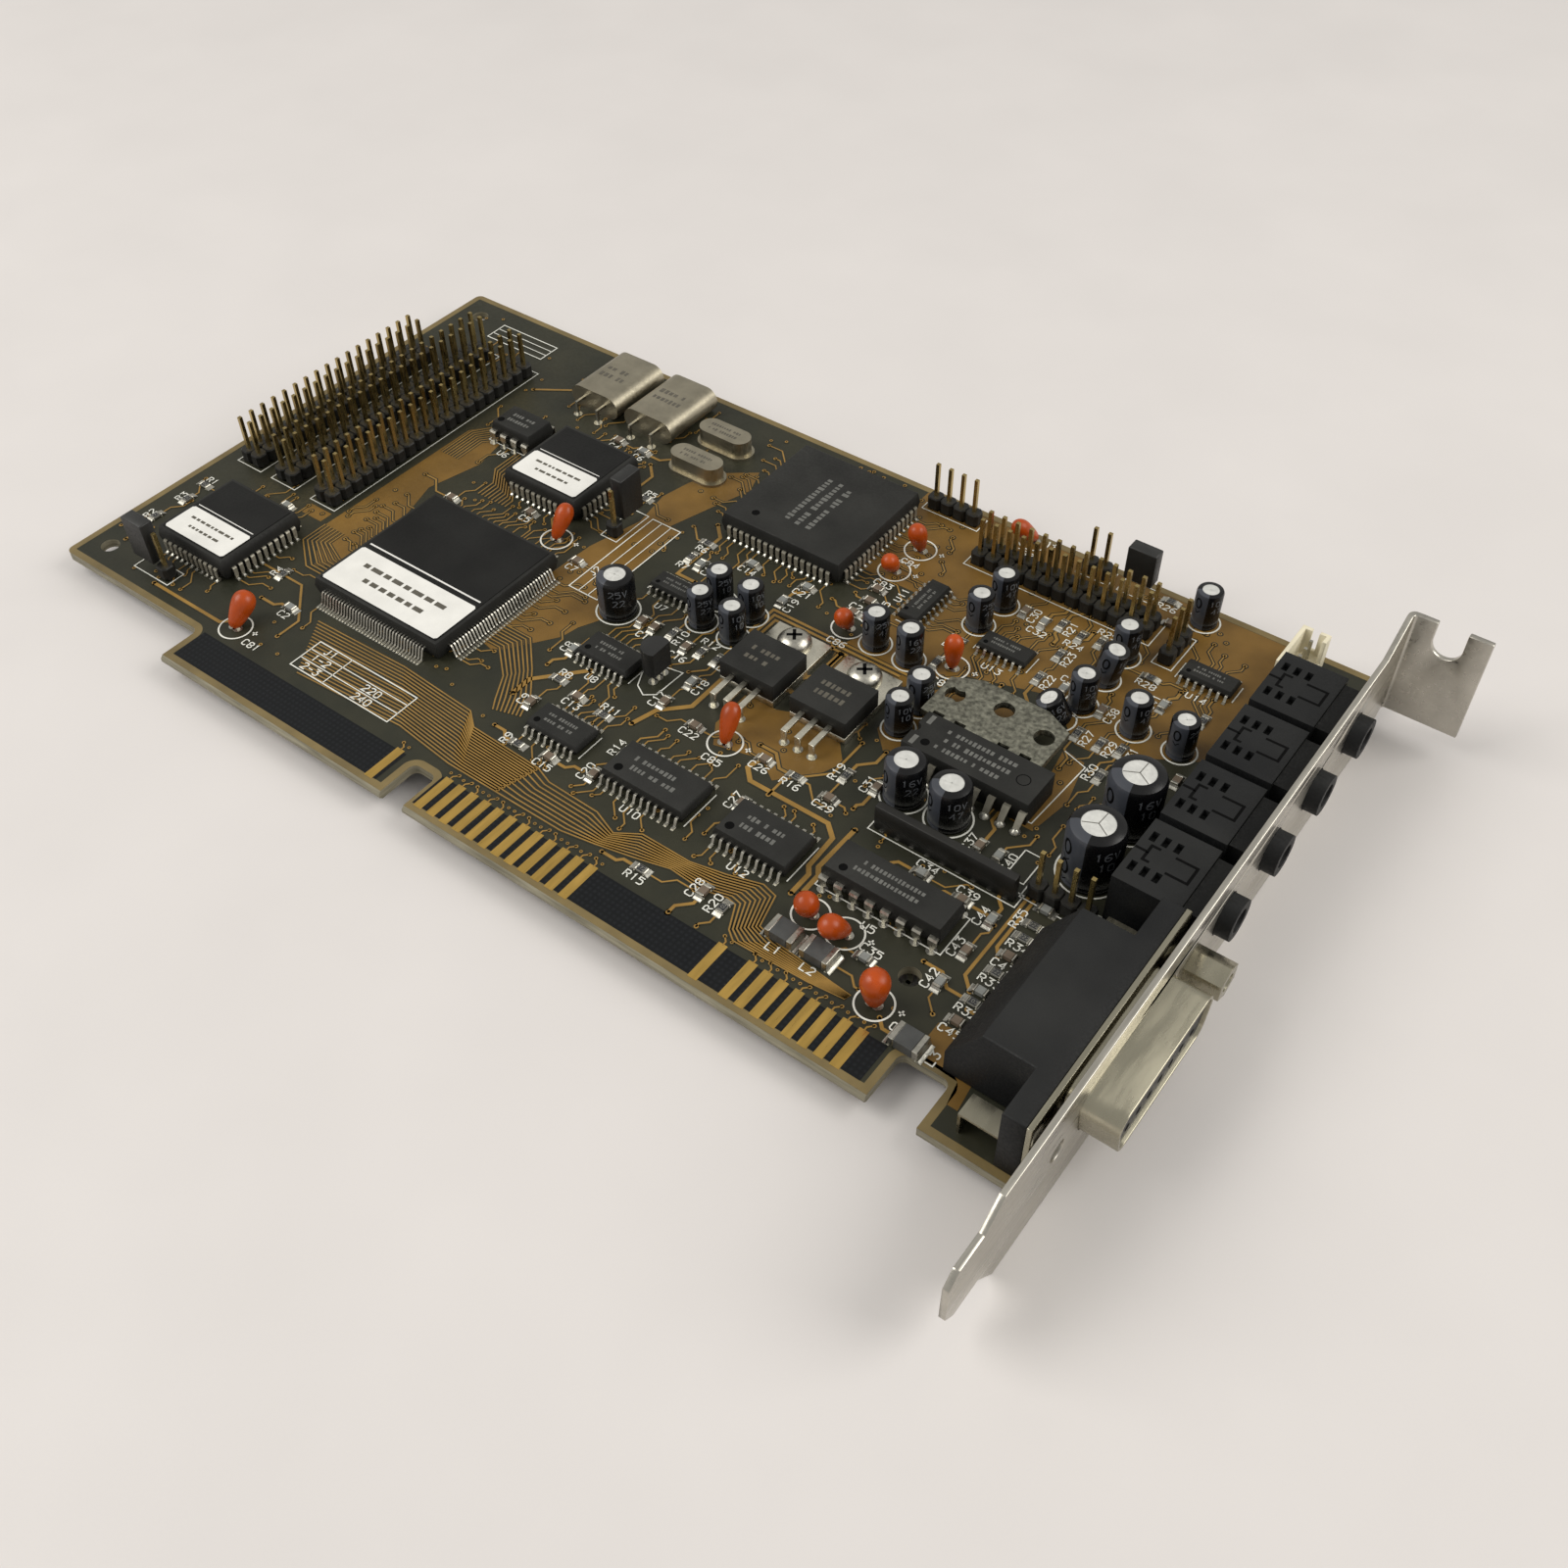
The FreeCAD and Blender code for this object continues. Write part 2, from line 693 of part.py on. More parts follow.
def audio_jack(number):
    """A moulded 3.5 mm jack whose collar passes through the bracket."""
    name = f"audio_jack_{number + 1}"
    middle = jack_middle(number)
    back = size.first_contact_x + size.jack_back
    inner = size.first_contact_x + size.bracket_reach - size.bracket_thickness
    front = back + size.jack_length
    axis = FACE + size.jack_axis
    mouth = inner + size.bracket_thickness + size.jack_collar_reach
    case = block(name + "_case", (size.jack_length, size.jack_width, size.jack_height),
                 (back, middle - size.jack_width / 2, FACE))
    nose = block(name + "_nose", (inner - front, size.jack_nose_width, size.jack_nose_height),
                 (front, middle - size.jack_nose_width / 2, FACE))
    collar = rod(name + "_collar", size.jack_collar, mouth - front, (front, middle, axis), ALONG_X)
    tools = [rod(name + "_bore", size.jack_bore, size.jack_bore_depth + 1,
                 (mouth - size.jack_bore_depth, middle, axis), ALONG_X)]
    top = FACE + size.jack_height - size.jack_slot_depth
    for side in (-1, 1):
        for step in range(3):
            x = back + size.jack_slot_width * (1 + 2 * step)
            y = middle + side * size.jack_width / 4 - size.jack_slot_width
            lengths = (size.jack_slot_width, 2 * size.jack_slot_width, size.jack_height)
            tools.append(block(f"{name}_slot", lengths, (x, y, top)))
    node(name, cut(name, fuse(name + "_moulding", [case, nose, collar]), tools))


def game_port():
    """Right-angle game port: moulded housing, plated shell and insulator, board locks and jackscrew."""
    y0 = size.contact_end_y + size.port_middle
    inner = size.first_contact_x + size.bracket_reach - size.bracket_thickness
    outer = inner + size.bracket_thickness
    axis = FACE + size.port_axis
    shell_back = inner - size.flange_setback - size.flange_thickness
    ear_back = shell_back - size.ear_depth
    low_y = y0 - size.flange_length / 2
    flange_low = axis - size.flange_height / 2

    flange = block("port_flange", (size.flange_thickness, size.flange_length, size.flange_height),
                   (shell_back, low_y, flange_low))
    tube_length = outer + size.shell_reach - shell_back
    tube = d_prism("port_tube", Length(0.0, "0"), shell_back, tube_length)
    hollow = d_prism("port_hollow", -size.shell_wall, shell_back - size.flange_thickness,
                     tube_length + 2 * size.flange_thickness)
    tools = [hollow]
    for side in (-1, 1):
        spot = (shell_back - size.flange_thickness, y0 + side * size.screw_spacing / 2, axis)
        tools.append(rod("flange_screw_hole", size.screw_hole, 3 * size.flange_thickness, spot, ALONG_X))
    node("game_port_shell", cut("game_port_shell", fuse("port_shell_blank", [flange, tube]), tools))

    insert = d_prism("game_port_insulator", -(size.shell_wall + size.fit_gap), shell_back,
                     tube_length - size.shell_wall)
    node("game_port_insulator", insert)

    back = size.first_contact_x + size.port_body_back
    crest = size.first_contact_x + size.port_body_top
    roof = axis + size.flange_height / 2
    body = new_body("port_moulding")
    section = [(back, FACE), (ear_back, FACE), (ear_back, roof), (crest, roof),
               (back, FACE + size.port_body_heel)]
    pad(body, "XZ_Plane", section, y0 - size.port_body_width / 2, size.port_body_width)
    ears = block("port_ears", (size.ear_depth, size.flange_length, roof - FACE), (ear_back, low_y, FACE))
    tools = []
    for side in (-1, 1):
        spot = (ear_back - size.ear_depth, y0 + side * size.screw_spacing / 2, axis)
        tools.append(rod("ear_screw_hole", size.screw_hole, 3 * size.ear_depth, spot, ALONG_X))
    node("game_port_housing", cut("game_port_housing", fuse("port_housing_blank", [body, ears]), tools))

    locks = []
    for side in (-1, 1):
        middle = float(y0 + side * size.screw_spacing / 2)
        low = middle - float(size.lock_width) / 2
        x1 = float(ear_back)
        x0 = x1 - float(size.lock_length)
        z0 = float(FACE)
        z1 = float(axis - size.screw_hole / 2)
        thick = float(size.lock_thickness)
        corners = [(x1, low, z1), (x1, low, z1 - thick), (x0 + thick, low, z1 - thick), (x0 + thick, low, z0),
                   (x0, low, z0), (x0, low, z1)]
        locks.append(prism(corners, (0, size.lock_width, 0)))
    solids("game_port_board_locks", locks)

    spot = Vector(float(outer), float(y0 + size.screw_spacing / 2), float(axis))
    corner = float(size.jackscrew_flats) / 2 / math.cos(math.pi / 6)
    ring = [spot + Vector(0, corner * math.sin(math.pi * turn / 3), corner * math.cos(math.pi * turn / 3))
            for turn in range(6)]
    head = prism(ring, (size.jackscrew_length, 0, 0))
    shank = Part.makeCylinder(float(size.jackscrew_shank) / 2, float(outer - shell_back),
                              Vector(float(shell_back), spot.y, spot.z), Vector(1, 0, 0))
    bore = Part.makeCylinder(float(size.jackscrew_shank) / 2, float(size.jackscrew_length),
                             spot + Vector(float(size.bracket_thickness), 0, 0), Vector(1, 0, 0))
    solids("jackscrew", [head.cut(bore).fuse(shank).removeSplitter()])


def post(x, y, low, high, side):
    half = float(side) / 2
    return bar((x - half, y - half, low), (x + half, y + half, high))


def header(label, spot, columns, rows):
    """A pin header: a moulded base, and the posts that stand on it."""
    middle_x = across(spot[0])
    middle_y = along(spot[1])
    length_x = columns * size.pin_pitch
    length_y = rows * size.pin_pitch
    base = block(label, (length_x, length_y, size.header_base),
                 (middle_x - length_x / 2, middle_y - length_y / 2, FACE))
    low = float(FACE + size.header_base)
    high = float(FACE + size.pin_height)
    posts = [post(float(middle_x) + dx, float(middle_y) + dy, low, high, size.pin_side)
             for dx in spread(columns, size.pin_pitch) for dy in spread(rows, size.pin_pitch)]
    return base, posts


def headers():
    for number, (column, row, pins) in enumerate(DRIVE_HEADERS, start=1):
        middle_row = row + (pins - 1) * 2
        base, posts = header(f"drive_header_base_{number}", (column, middle_row), 2, pins)
        node(f"drive_header_base_{number}", base)
        solids(f"drive_header_pins_{number}", posts)
    column, row, pins = FEATURE_HEADER
    base, posts = header("feature_header_base", (column, row), pins, 2)
    node("feature_header_base", base)
    solids("feature_header_pins", posts)
    bases = []
    pins_shown = []
    for column, row, pins in ROW_HEADERS:
        base, posts = header("row_header_base", (column, row), pins, 1)
        bases.append(base)
        pins_shown += posts
    for column, row, pins in DEEP_HEADERS:
        base, posts = header("deep_header_base", (column, row), 1, pins)
        bases.append(base)
        pins_shown += posts
    group = doc.addObject("Part::Compound", "small_header_bases")
    group.Links = bases
    node("small_header_bases", group)
    caps = jumper_caps()
    free = []
    for pin in pins_shown:
        if all(pin.common(cap).Volume == 0 for cap in caps):
            free.append(pin)
    solids("small_header_pins", free)
    solids("jumper_caps", caps)


def jumper_caps():
    """Shorting caps: a low one by the rear edge and two with tall grips, all over two posts."""
    pitch = float(size.pin_pitch)
    seat = float(FACE + size.header_base)
    half_length = float(size.cap_length) / 2
    half_width = float(size.cap_width) / 2
    caps = []
    column, row, pins = ROW_HEADERS[2]
    spots = [(float(across(column)), float(along(row)), half_length, half_width, float(size.cap_height))]
    column, row, pins = ROW_HEADERS[4]
    spots.append((float(across(column)) - pitch / 2, float(along(row)), half_length, half_width,
                  float(size.tall_cap_height)))
    column, row, pins = DEEP_HEADERS[1]
    spots.append((float(across(column)), float(along(row)) + pitch / 2, half_width, half_length,
                  float(size.tall_cap_height)))
    for x, y, half_x, half_y, height in spots:
        caps.append(bar((x - half_x, y - half_y, seat), (x + half_x, y + half_y, seat + height)))
    return caps


def wafer_connector():
    """A pale wafer connector along Y: an open-topped box with slotted ends and pins on its floor."""
    column, row, pins = WAFER
    middle = across(column)
    x = middle - size.wafer_depth / 2
    y = along(row) - size.wafer_length / 2
    case = block("wafer_case", (size.wafer_depth, size.wafer_length, size.wafer_height), (x, y, FACE))
    wall = size.wafer_wall
    floor = FACE + size.wafer_floor
    well = block("wafer_well", (size.wafer_depth - 2 * wall, size.wafer_length - 2 * wall, size.wafer_height),
                 (x + wall, y + wall, floor))
    ends = block("wafer_end_slots", (size.wafer_slot, size.wafer_length + 2 * wall, size.wafer_height),
                 (middle - size.wafer_slot / 2, y - wall, floor + wall))
    front = block("wafer_front_window", (2 * wall, size.wafer_length - 6 * wall, size.wafer_height),
                  (x + size.wafer_depth - 3 * wall / 2, y + 3 * wall, floor))
    node("wafer_connector", cut("wafer_connector", case, [well, ends, front]))
    low = float(floor)
    high = float(FACE + size.wafer_pin_height)
    solids("wafer_connector_pins", [post(float(middle), float(along(row)) + dy, low, high, size.wafer_pin)
                                    for dy in spread(pins, size.wafer_pitch)])


def sloped_leads(count, pitch, width, body, tip, shoulder):
    """One side's row of gull-wing leads, from the body at minus Y down to their feet."""
    half = float(width) / 2
    near_y = -float(body) / 2
    far_y = -float(tip) / 2
    thick = float(size.lead_thickness)
    leads = []
    for x in spread(count, pitch):
        corners = [(x - half, near_y, shoulder), (x - half, near_y, shoulder + thick),
                   (x - half, far_y, thick), (x - half, far_y, 0)]
        leads.append(prism(corners, (width, 0, 0)))
    return leads


def moved(shapes, spot):
    """Shift shapes that are drawn about the origin to a layout place on the board's face."""
    shift = Vector(float(across(spot[0])), float(along(spot[1])), float(FACE))
    return [shape.translated(shift) for shape in shapes]


def label(spot, side, top):
    x = float(across(spot[0]))
    y = float(along(spot[1]))
    half = float(side) / 2 - float(size.label_inset)
    low = float(FACE + top)
    return bar((x - half, y - half, low), (x + half, y + half, low + float(size.label_thickness)))


def quad_chips():
    """The gull-wing controller and the three square carriers with folded-under leads."""
    origin = Vector()
    solids("controller_body", [moulded(CONTROLLER, size.quad_body, size.quad_body, size.quad_standoff,
                                       size.quad_top)])
    middle = float(size.quad_standoff + size.quad_top) / 2
    row = sloped_leads(len(QUAD_LEADS), size.quad_pitch, size.quad_lead_width, size.quad_body, size.quad_tip,
                       middle)
    solids("controller_leads", moved(four_ways(row, origin), CONTROLLER))

    def carrier_leads(body, count):
        half = float(size.carrier_lead_width) / 2
        near_y = -float(body) / 2
        leads = []
        for x in spread(count, size.carrier_pitch):
            leads.append(bar((x - half, near_y - float(size.carrier_lead), 0),
                             (x + half, near_y, size.carrier_lead_top)))
        return four_ways(leads, origin)

    def carrier_body(spot, body):
        return moulded(spot, body, body, size.carrier_standoff, size.carrier_top)

    solids("codec_body", [carrier_body(CODEC, size.large_carrier_body)])
    solids("codec_leads", moved(carrier_leads(size.large_carrier_body, len(LARGE_CARRIER_LEADS)), CODEC))
    solids("firmware_chip_bodies", [carrier_body(spot, size.small_carrier_body) for spot in FIRMWARE_CHIPS])
    leads = []
    for spot in FIRMWARE_CHIPS:
        leads += moved(carrier_leads(size.small_carrier_body, len(SMALL_CARRIER_LEADS)), spot)
    solids("firmware_chip_leads", leads)
    labels = [label(CONTROLLER, size.quad_body, size.quad_top)]
    labels += [label(spot, size.small_carrier_body, size.carrier_top) for spot in FIRMWARE_CHIPS]
    solids("chip_labels", labels)


def dip_chips():
    """Through-hole chips: two rows of leads that fold down beside the body."""
    thick = float(size.lead_thickness)
    half = float(size.dip_lead_width) / 2
    near_y = -float(size.dip_body_width) / 2
    far_y = -float(size.dip_rows) / 2
    shoulder = float(size.dip_standoff + size.dip_top) / 2
    leads = []
    for name, spot, count in (("timer_body", TIMER, 8), ("eeprom_body", EEPROM, 4)):
        length = count * size.dip_pitch - size.dip_end
        solids(name, [moulded(spot, length, size.dip_body_width, size.dip_standoff, size.dip_top)])
        row = []
        for x in spread(count, size.dip_pitch):
            corners = [(x - half, near_y, shoulder), (x - half, near_y, shoulder + thick),
                       (x - half, far_y - thick / 2, shoulder + thick), (x - half, far_y - thick / 2, 0),
                       (x - half, far_y + thick / 2, 0), (x - half, far_y + thick / 2, shoulder)]
            row.append(prism(corners, (size.dip_lead_width, 0, 0)))
        leads += moved(row, spot)
        leads += moved([turned(lead, 180) for lead in row], spot)
    solids("dip_leads", leads)


def turned(shape, angle):
    copy = shape.copy()
    copy.rotate(Vector(), Vector(0, 0, 1), angle)
    return copy


def outline_chips():
    """Small-outline chips in three body widths, one of them turned along Y."""
    narrow = (size.narrow_body, size.narrow_tip, size.narrow_top)
    medium = (size.medium_body, size.medium_tip, size.medium_top)
    wide = (size.wide_body, size.wide_tip, size.wide_top)
    families = [(MEDIUM_OUTLINE_16, 8, medium, False), (NARROW_OUTLINE_14, 7, narrow, False),
                (TURNED_OUTLINE_16, 8, narrow, True), (WIDE_OUTLINE_24, 12, wide, False),
                (WIDE_OUTLINE_20, 10, wide, False)]
    bodies = []
    leads = []
    for spots, count, (body, tip, top), upright in families:
        length = count * size.outline_pitch + 2 * size.outline_end - size.outline_pitch
        middle = float(size.outline_standoff + top) / 2
        row = sloped_leads(count, size.outline_pitch, size.outline_lead_width, body, tip, middle)
        pair = row + [turned(lead, 180) for lead in row]
        if upright:
            pair = [turned(lead, 90) for lead in pair]
        for spot in spots:
            sides = (body, length) if upright else (length, body)
            bodies.append(moulded(spot, sides[0], sides[1], size.outline_standoff, top))
            leads += moved(pair, spot)
    solids("small_outline_bodies", bodies)
    solids("small_outline_leads", leads)


def bent_lead(x, y_body, y_hole, level, width, thick):
    """A power lead: straight out of the body along minus Y, then down to the board."""
    half = float(width) / 2
    side = x - half
    corners = [(side, y_body, level), (side, y_body, level + thick), (side, y_hole, level + thick),
               (side, y_hole, 0), (side, y_hole + thick, 0), (side, y_hole + thick, level)]
    return prism(corners, (width, 0, 0))


def regulators():
    """Two flat-lying regulators: moulded bodies, their tabs with leads, and a screw through each tab."""
    bodies = []
    frames = []
    screws = []
    half = float(size.regulator_width) / 2
    reach = float(size.regulator_reach)
    length = float(size.regulator_length)
    tab = float(size.regulator_tab)
    thick = float(size.regulator_tab_thickness)
    lead_thick = float(size.power_lead_thickness)
    level = float(size.regulator_height) / 2
    for spot in REGULATORS:
        body = bar((-half, reach, thick), (half, reach + length, size.regulator_height))
        plate = bar((-half, reach, 0), (half, reach + length + tab, thick))
        middle = Vector(0, reach + length + tab * 0.55, 0)
        head = Part.makeCylinder(float(size.screw_head) / 2, float(size.screw_head_height),
                                 middle + Vector(0, 0, thick))
        leads = [bent_lead(x, reach, 0, level, size.regulator_lead_width, lead_thick)
                 for x in spread(3, size.pin_pitch)]
        bodies += moved([body], spot)
        frames += moved([plate] + leads, spot)
        screws += moved([head], spot)
    solids("regulator_bodies", bodies)
    solids("regulator_frames", frames)
    solids("regulator_screws", screws)


def amplifier():
    """The flat-lying power amplifier: a notched body, its leads and a drilled, slotted cooling fin."""
    reach = float(size.amplifier_reach)
    half = float(size.amplifier_length) / 2
    rear = reach + float(size.amplifier_width)
    height = float(size.amplifier_height)
    body = bar((-half, reach, 0), (half, rear, height))
    notch = Part.makeCylinder(float(size.amplifier_notch) / 2, height, Vector(-half, (reach + rear) / 2, 0))
    solids("amplifier_body", moved([body.cut(notch)], AMPLIFIER))
    tip = rear + float(size.fin_length)
    corner = float(size.fin_corner)
    shoulder = tip - float(size.fin_corner_depth)
    lift = float(size.fin_lift)
    left = -float(size.fin_width) / 2 - float(size.fin_shift)
    right = left + float(size.fin_width)
    outline = [(left, rear, lift), (right, rear, lift), (right, shoulder, lift), (right - corner, tip, lift),
               (left + corner, tip, lift), (left, shoulder, lift)]
    thick = float(size.fin_thickness)
    fin = prism(outline, (0, 0, thick))
    radius = float(size.fin_hole) / 2
    waist = float(size.fin_waist)
    for step in FIN_HOLES:
        centre = Vector((left + right) / 2 + step * float(size.fin_hole_pitch),
                        tip - float(size.fin_hole_inset) - abs(step) * float(size.fin_hole_step), lift)
        hole = Part.makeCylinder(radius, thick, centre)
        if step == FIN_HOLES[0]:
            # This hole is pinched from front and rear
            for side in (-1, 1):
                pinch = centre + Vector(0, side * (radius * 2 - waist), 0)
                hole = hole.cut(Part.makeCylinder(radius, thick, pinch))
        fin = fin.cut(hole)
    half_window = float(size.fin_window) / 2
    deep = rear + float(size.fin_window_depth)
    for step in FIN_WINDOWS:
        x = (left + right) / 2 + step * float(size.fin_window_pitch)
        fin = fin.cut(bar((x - half_window, rear, lift), (x + half_window, deep, lift + thick)))
    solids("amplifier_fin", moved([fin], AMPLIFIER))
    level = float(size.amplifier_height) / 2
    leads = [bent_lead(x, reach, 0, level, size.regulator_lead_width, float(size.power_lead_thickness))
             for x in spread(len(AMPLIFIER_LEADS), size.pin_pitch)]
    solids("amplifier_leads", moved(leads, AMPLIFIER))


def small_parts():
    """The upright resistor network and the transistor on its three legs."""
    half_x = size.network_length / 2
    half_y = size.network_thickness / 2
    x = across(NETWORK[0])
    y = along(NETWORK[1])
    lengths = (size.network_length, size.network_thickness, size.network_height)
    node("resistor_network", block("resistor_network", lengths, (x - half_x, y - half_y, FACE)))
    radius = float(size.transistor_width) / 2
    lift = float(size.transistor_lift)
    can = Part.makeCylinder(radius, float(size.transistor_height), Vector(0, 0, lift))
    flat = bar((radius * 0.5, -radius, lift), (radius * 2, radius, lift + float(size.transistor_height)))
    solids("transistor_body", moved([can.cut(flat)], TRANSISTOR))
    half = float(size.pin_side) / 4
    legs = [bar((-half, dy - half, 0), (half, dy + half, lift)) for dy in spread(3, size.outline_pitch)]
    solids("transistor_leads", moved(legs, TRANSISTOR))


def crystals():
    """Two tall crystal cans lying on their sides and two low oval cans standing on flanges."""
    cans = []
    leads = []
    thick = float(size.can_thickness)
    half = float(size.can_width) / 2
    radius = thick / 2
    length = float(size.can_length)
    for spot in FLAT_CRYSTALS:
        start = radius / 2
        flat = half - radius
        ring = Part.Wire([Part.LineSegment(Vector(-flat, start, 0), Vector(flat, start, 0)).toShape(),
                          Part.Arc(Vector(flat, start, 0), Vector(half, start, radius),
                                   Vector(flat, start, thick)).toShape(),
                          Part.LineSegment(Vector(flat, start, thick), Vector(-flat, start, thick)).toShape(),
                          Part.Arc(Vector(-flat, start, thick), Vector(-half, start, radius),
                                   Vector(-flat, start, 0)).toShape()])
        cans += moved([Part.Face(ring).extrude(Vector(0, length, 0))], spot)
        legs = [bent_lead(x, start, -radius / 2, radius, size.can_lead, float(size.can_lead))
                for x in spread(2, size.can_lead_spacing)]
        leads += moved(legs, spot)
    radius = float(size.low_can_width) / 2
    flat = float(size.low_can_length) / 2 - radius
    for spot in LOW_CRYSTALS:
        pieces = []
        for grow, low, high in ((size.low_can_flange, 0, size.low_can_flange), (0, 0, size.low_can_height)):
            wide = radius + float(grow)
            ring = Part.Wire([Part.LineSegment(Vector(-flat, -wide, 0), Vector(flat, -wide, 0)).toShape(),
                              Part.Arc(Vector(flat, -wide, 0), Vector(flat + wide, 0, 0),
                                       Vector(flat, wide, 0)).toShape(),
                              Part.LineSegment(Vector(flat, wide, 0), Vector(-flat, wide, 0)).toShape(),
                              Part.Arc(Vector(-flat, wide, 0), Vector(-flat - wide, 0, 0),
                                       Vector(-flat, -wide, 0)).toShape()])
            pieces.append(Part.Face(ring).extrude(Vector(0, 0, float(high))))
        cans += moved([pieces[0].fuse(pieces[1]).removeSplitter()], spot)
    solids("crystal_cans", cans)
    solids("crystal_leads", leads)


def leaned(shape, spot):
    """Tip a part that stands crooked over its own foot."""
    if spot not in LEANS:
        return shape
    angle, heading = LEANS[spot]
    turn = math.radians(heading)
    copy = shape.copy()
    copy.rotate(Vector(), Vector(-math.sin(turn), math.cos(turn), 0), angle)
    return copy


def above_board(shape):
    """Trim a tipped part flush with the board's face."""
    box = shape.BoundBox
    if box.ZMin > -1e-6:
        return shape
    return shape.cut(bar((box.XMin - 1, box.YMin - 1, box.ZMin - 1), (box.XMax + 1, box.YMax + 1, 0)))


def electrolytics():
    """Upright sleeved cans, by size."""
    sleeves = []
    families = [(SMALL_CANS, size.small_can, size.small_can_top),
                (SHORT_CANS, size.small_can, size.short_can_top),
                (MEDIUM_CANS, size.medium_can, size.medium_can_top),
                (LARGE_CANS, size.large_can, size.large_can_top)]
    for spots, diameter, top in families:
        sleeve = Part.makeCylinder(float(diameter) / 2, float(top))
        for spot in spots:
            sleeves += moved([above_board(leaned(sleeve, spot))], spot)
    solids("capacitor_sleeves", sleeves)


def bead_capacitors():
    """Dipped bead capacitors: a drop on two legs, most of them leaning."""
    radius = float(size.bead_width) / 2
    height = float(size.bead_height)
    lift = float(size.bead_lift)
    neck = radius * BEAD_RINGS[0][1]
    wires = []
    for level, share in BEAD_RINGS:
        turns = [2 * math.pi * side / len(BEAD_SIDES) for side in BEAD_SIDES]
        ring = [Vector(radius * share * math.cos(turn), radius * share * math.sin(turn), height * level)
                for turn in turns]
        wires.append(Part.makePolygon(ring + [ring[0]]))
    drop = Part.makeLoft(wires, True, True)
    half = float(size.bead_lead) / 2
    reach = neck - half
    pair = [bar((dx - half, -half, 0), (dx + half, half, lift + neck)) for dx in (-reach, reach)]
    beads = []
    legs = []
    seat = Vector(0, 0, lift)
    room = bar((-height, -height, 0), (height, height, height))
    for spot in BEADS:
        beads += moved([leaned(drop, spot).translated(seat)], spot)
        above = leaned(room, spot).translated(seat)
        legs += moved([leg.cut(above) for leg in pair], spot)
    solids("bead_capacitors", beads)
    solids("bead_leads", legs)


def chip(spot, length, width, height, upright):
    half_x = float(width if upright else length) / 2
    half_y = float(length if upright else width) / 2
    return moved([bar((-half_x, -half_y, 0), (half_x, half_y, height))], spot)[0]


def surface_chips():
    """Small surface-mount chips, each given by its place and whether it stands along Y."""
    solids("ferrite_chips", [chip(spot, size.ferrite_length, size.ferrite_width, size.ferrite_height, False)
                             for spot in FERRITES])
    for name, flat, upright, height in (
            ("chip_resistors", RESISTORS_ACROSS, RESISTORS_ALONG, size.resistor_height),
            ("chip_capacitors", CAPACITORS_ACROSS, CAPACITORS_ALONG, size.capacitor_height)):
        chips = [chip(spot, size.chip_length, size.chip_width, height, False) for spot in flat]
        chips += [chip(spot, size.chip_length, size.chip_width, height, True) for spot in upright]
        solids(name, chips)


circuit_board()
edge_contacts()
mounting_bracket()
for jack in JACKS:
    audio_jack(jack)
game_port()
headers()
wafer_connector()
quad_chips()
dip_chips()
outline_chips()
regulators()
amplifier()
small_parts()
crystals()
electrolytics()
bead_capacitors()
surface_chips()
doc.recompute()

for thing in doc.Objects:
    if "Invalid" in thing.State or "Error" in thing.State:
        raise RuntimeError(f"{thing.Label} could not be built: {thing.State}")
for name, thing in nodes.items():
    if thing.Shape.isNull() or not thing.Shape.isValid():
        raise RuntimeError(f"{name} has no valid shape")
os.makedirs("parts", exist_ok=True)
for name, thing in nodes.items():
    thing.Shape.exportStep(f"parts/{name}.step")
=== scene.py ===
"""Looks of the sound and modem card: detailed pieces, materials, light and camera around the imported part."""
import math
import random

import bpy
import numpy as np
from mathutils import Matrix, Vector


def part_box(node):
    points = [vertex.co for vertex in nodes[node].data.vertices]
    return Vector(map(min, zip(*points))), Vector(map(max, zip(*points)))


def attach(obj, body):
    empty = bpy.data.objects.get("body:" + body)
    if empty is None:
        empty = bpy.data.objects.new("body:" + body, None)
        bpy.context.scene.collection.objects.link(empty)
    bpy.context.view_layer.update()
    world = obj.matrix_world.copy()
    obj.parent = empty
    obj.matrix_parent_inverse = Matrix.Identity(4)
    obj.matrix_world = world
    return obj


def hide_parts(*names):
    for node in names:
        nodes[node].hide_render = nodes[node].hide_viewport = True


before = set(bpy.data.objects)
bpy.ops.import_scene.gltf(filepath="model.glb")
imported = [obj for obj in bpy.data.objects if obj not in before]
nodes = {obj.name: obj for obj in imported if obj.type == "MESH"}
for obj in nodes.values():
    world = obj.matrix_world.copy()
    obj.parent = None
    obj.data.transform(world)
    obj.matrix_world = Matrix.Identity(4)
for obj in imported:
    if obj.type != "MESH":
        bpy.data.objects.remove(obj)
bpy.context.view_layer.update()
rng = random.Random(11)

# Millimetres in the part's frame: the board's two faces and the height of each printed layer above them
TOP, UNDER = 4.2, 2.6
POUR, GAP, LINE, PAD, INK = 0.02, 0.04, 0.06, 0.08, 0.1
FILM = 0.015  # height of a mark, or of a flat film of painted recess shade, above the moulding that carries it
FIRST_X, FIRST_Y = 63.835, -42.7  # first contact, where the layout grid starts
LEFT_STEP, RIGHT_STEP, ROW_STEP = 0.63435, 0.635, 0.63473
PIN_PITCH, PORT_PITCH, PORT_ROWS = 2.54, 2.74, (8, 7)
TEXT = 1.2  # height of the legend's designators
LOW_CRYSTAL = 4.2  # crystal cans that rise further lie on their sides
THIN = 0.22  # width of a bundle's lines
VIA = 0.32  # radius of the vias that are scattered over the board
FRONT_TRIES, BACK_TRIES = 420, 300  # places tried for them on each face

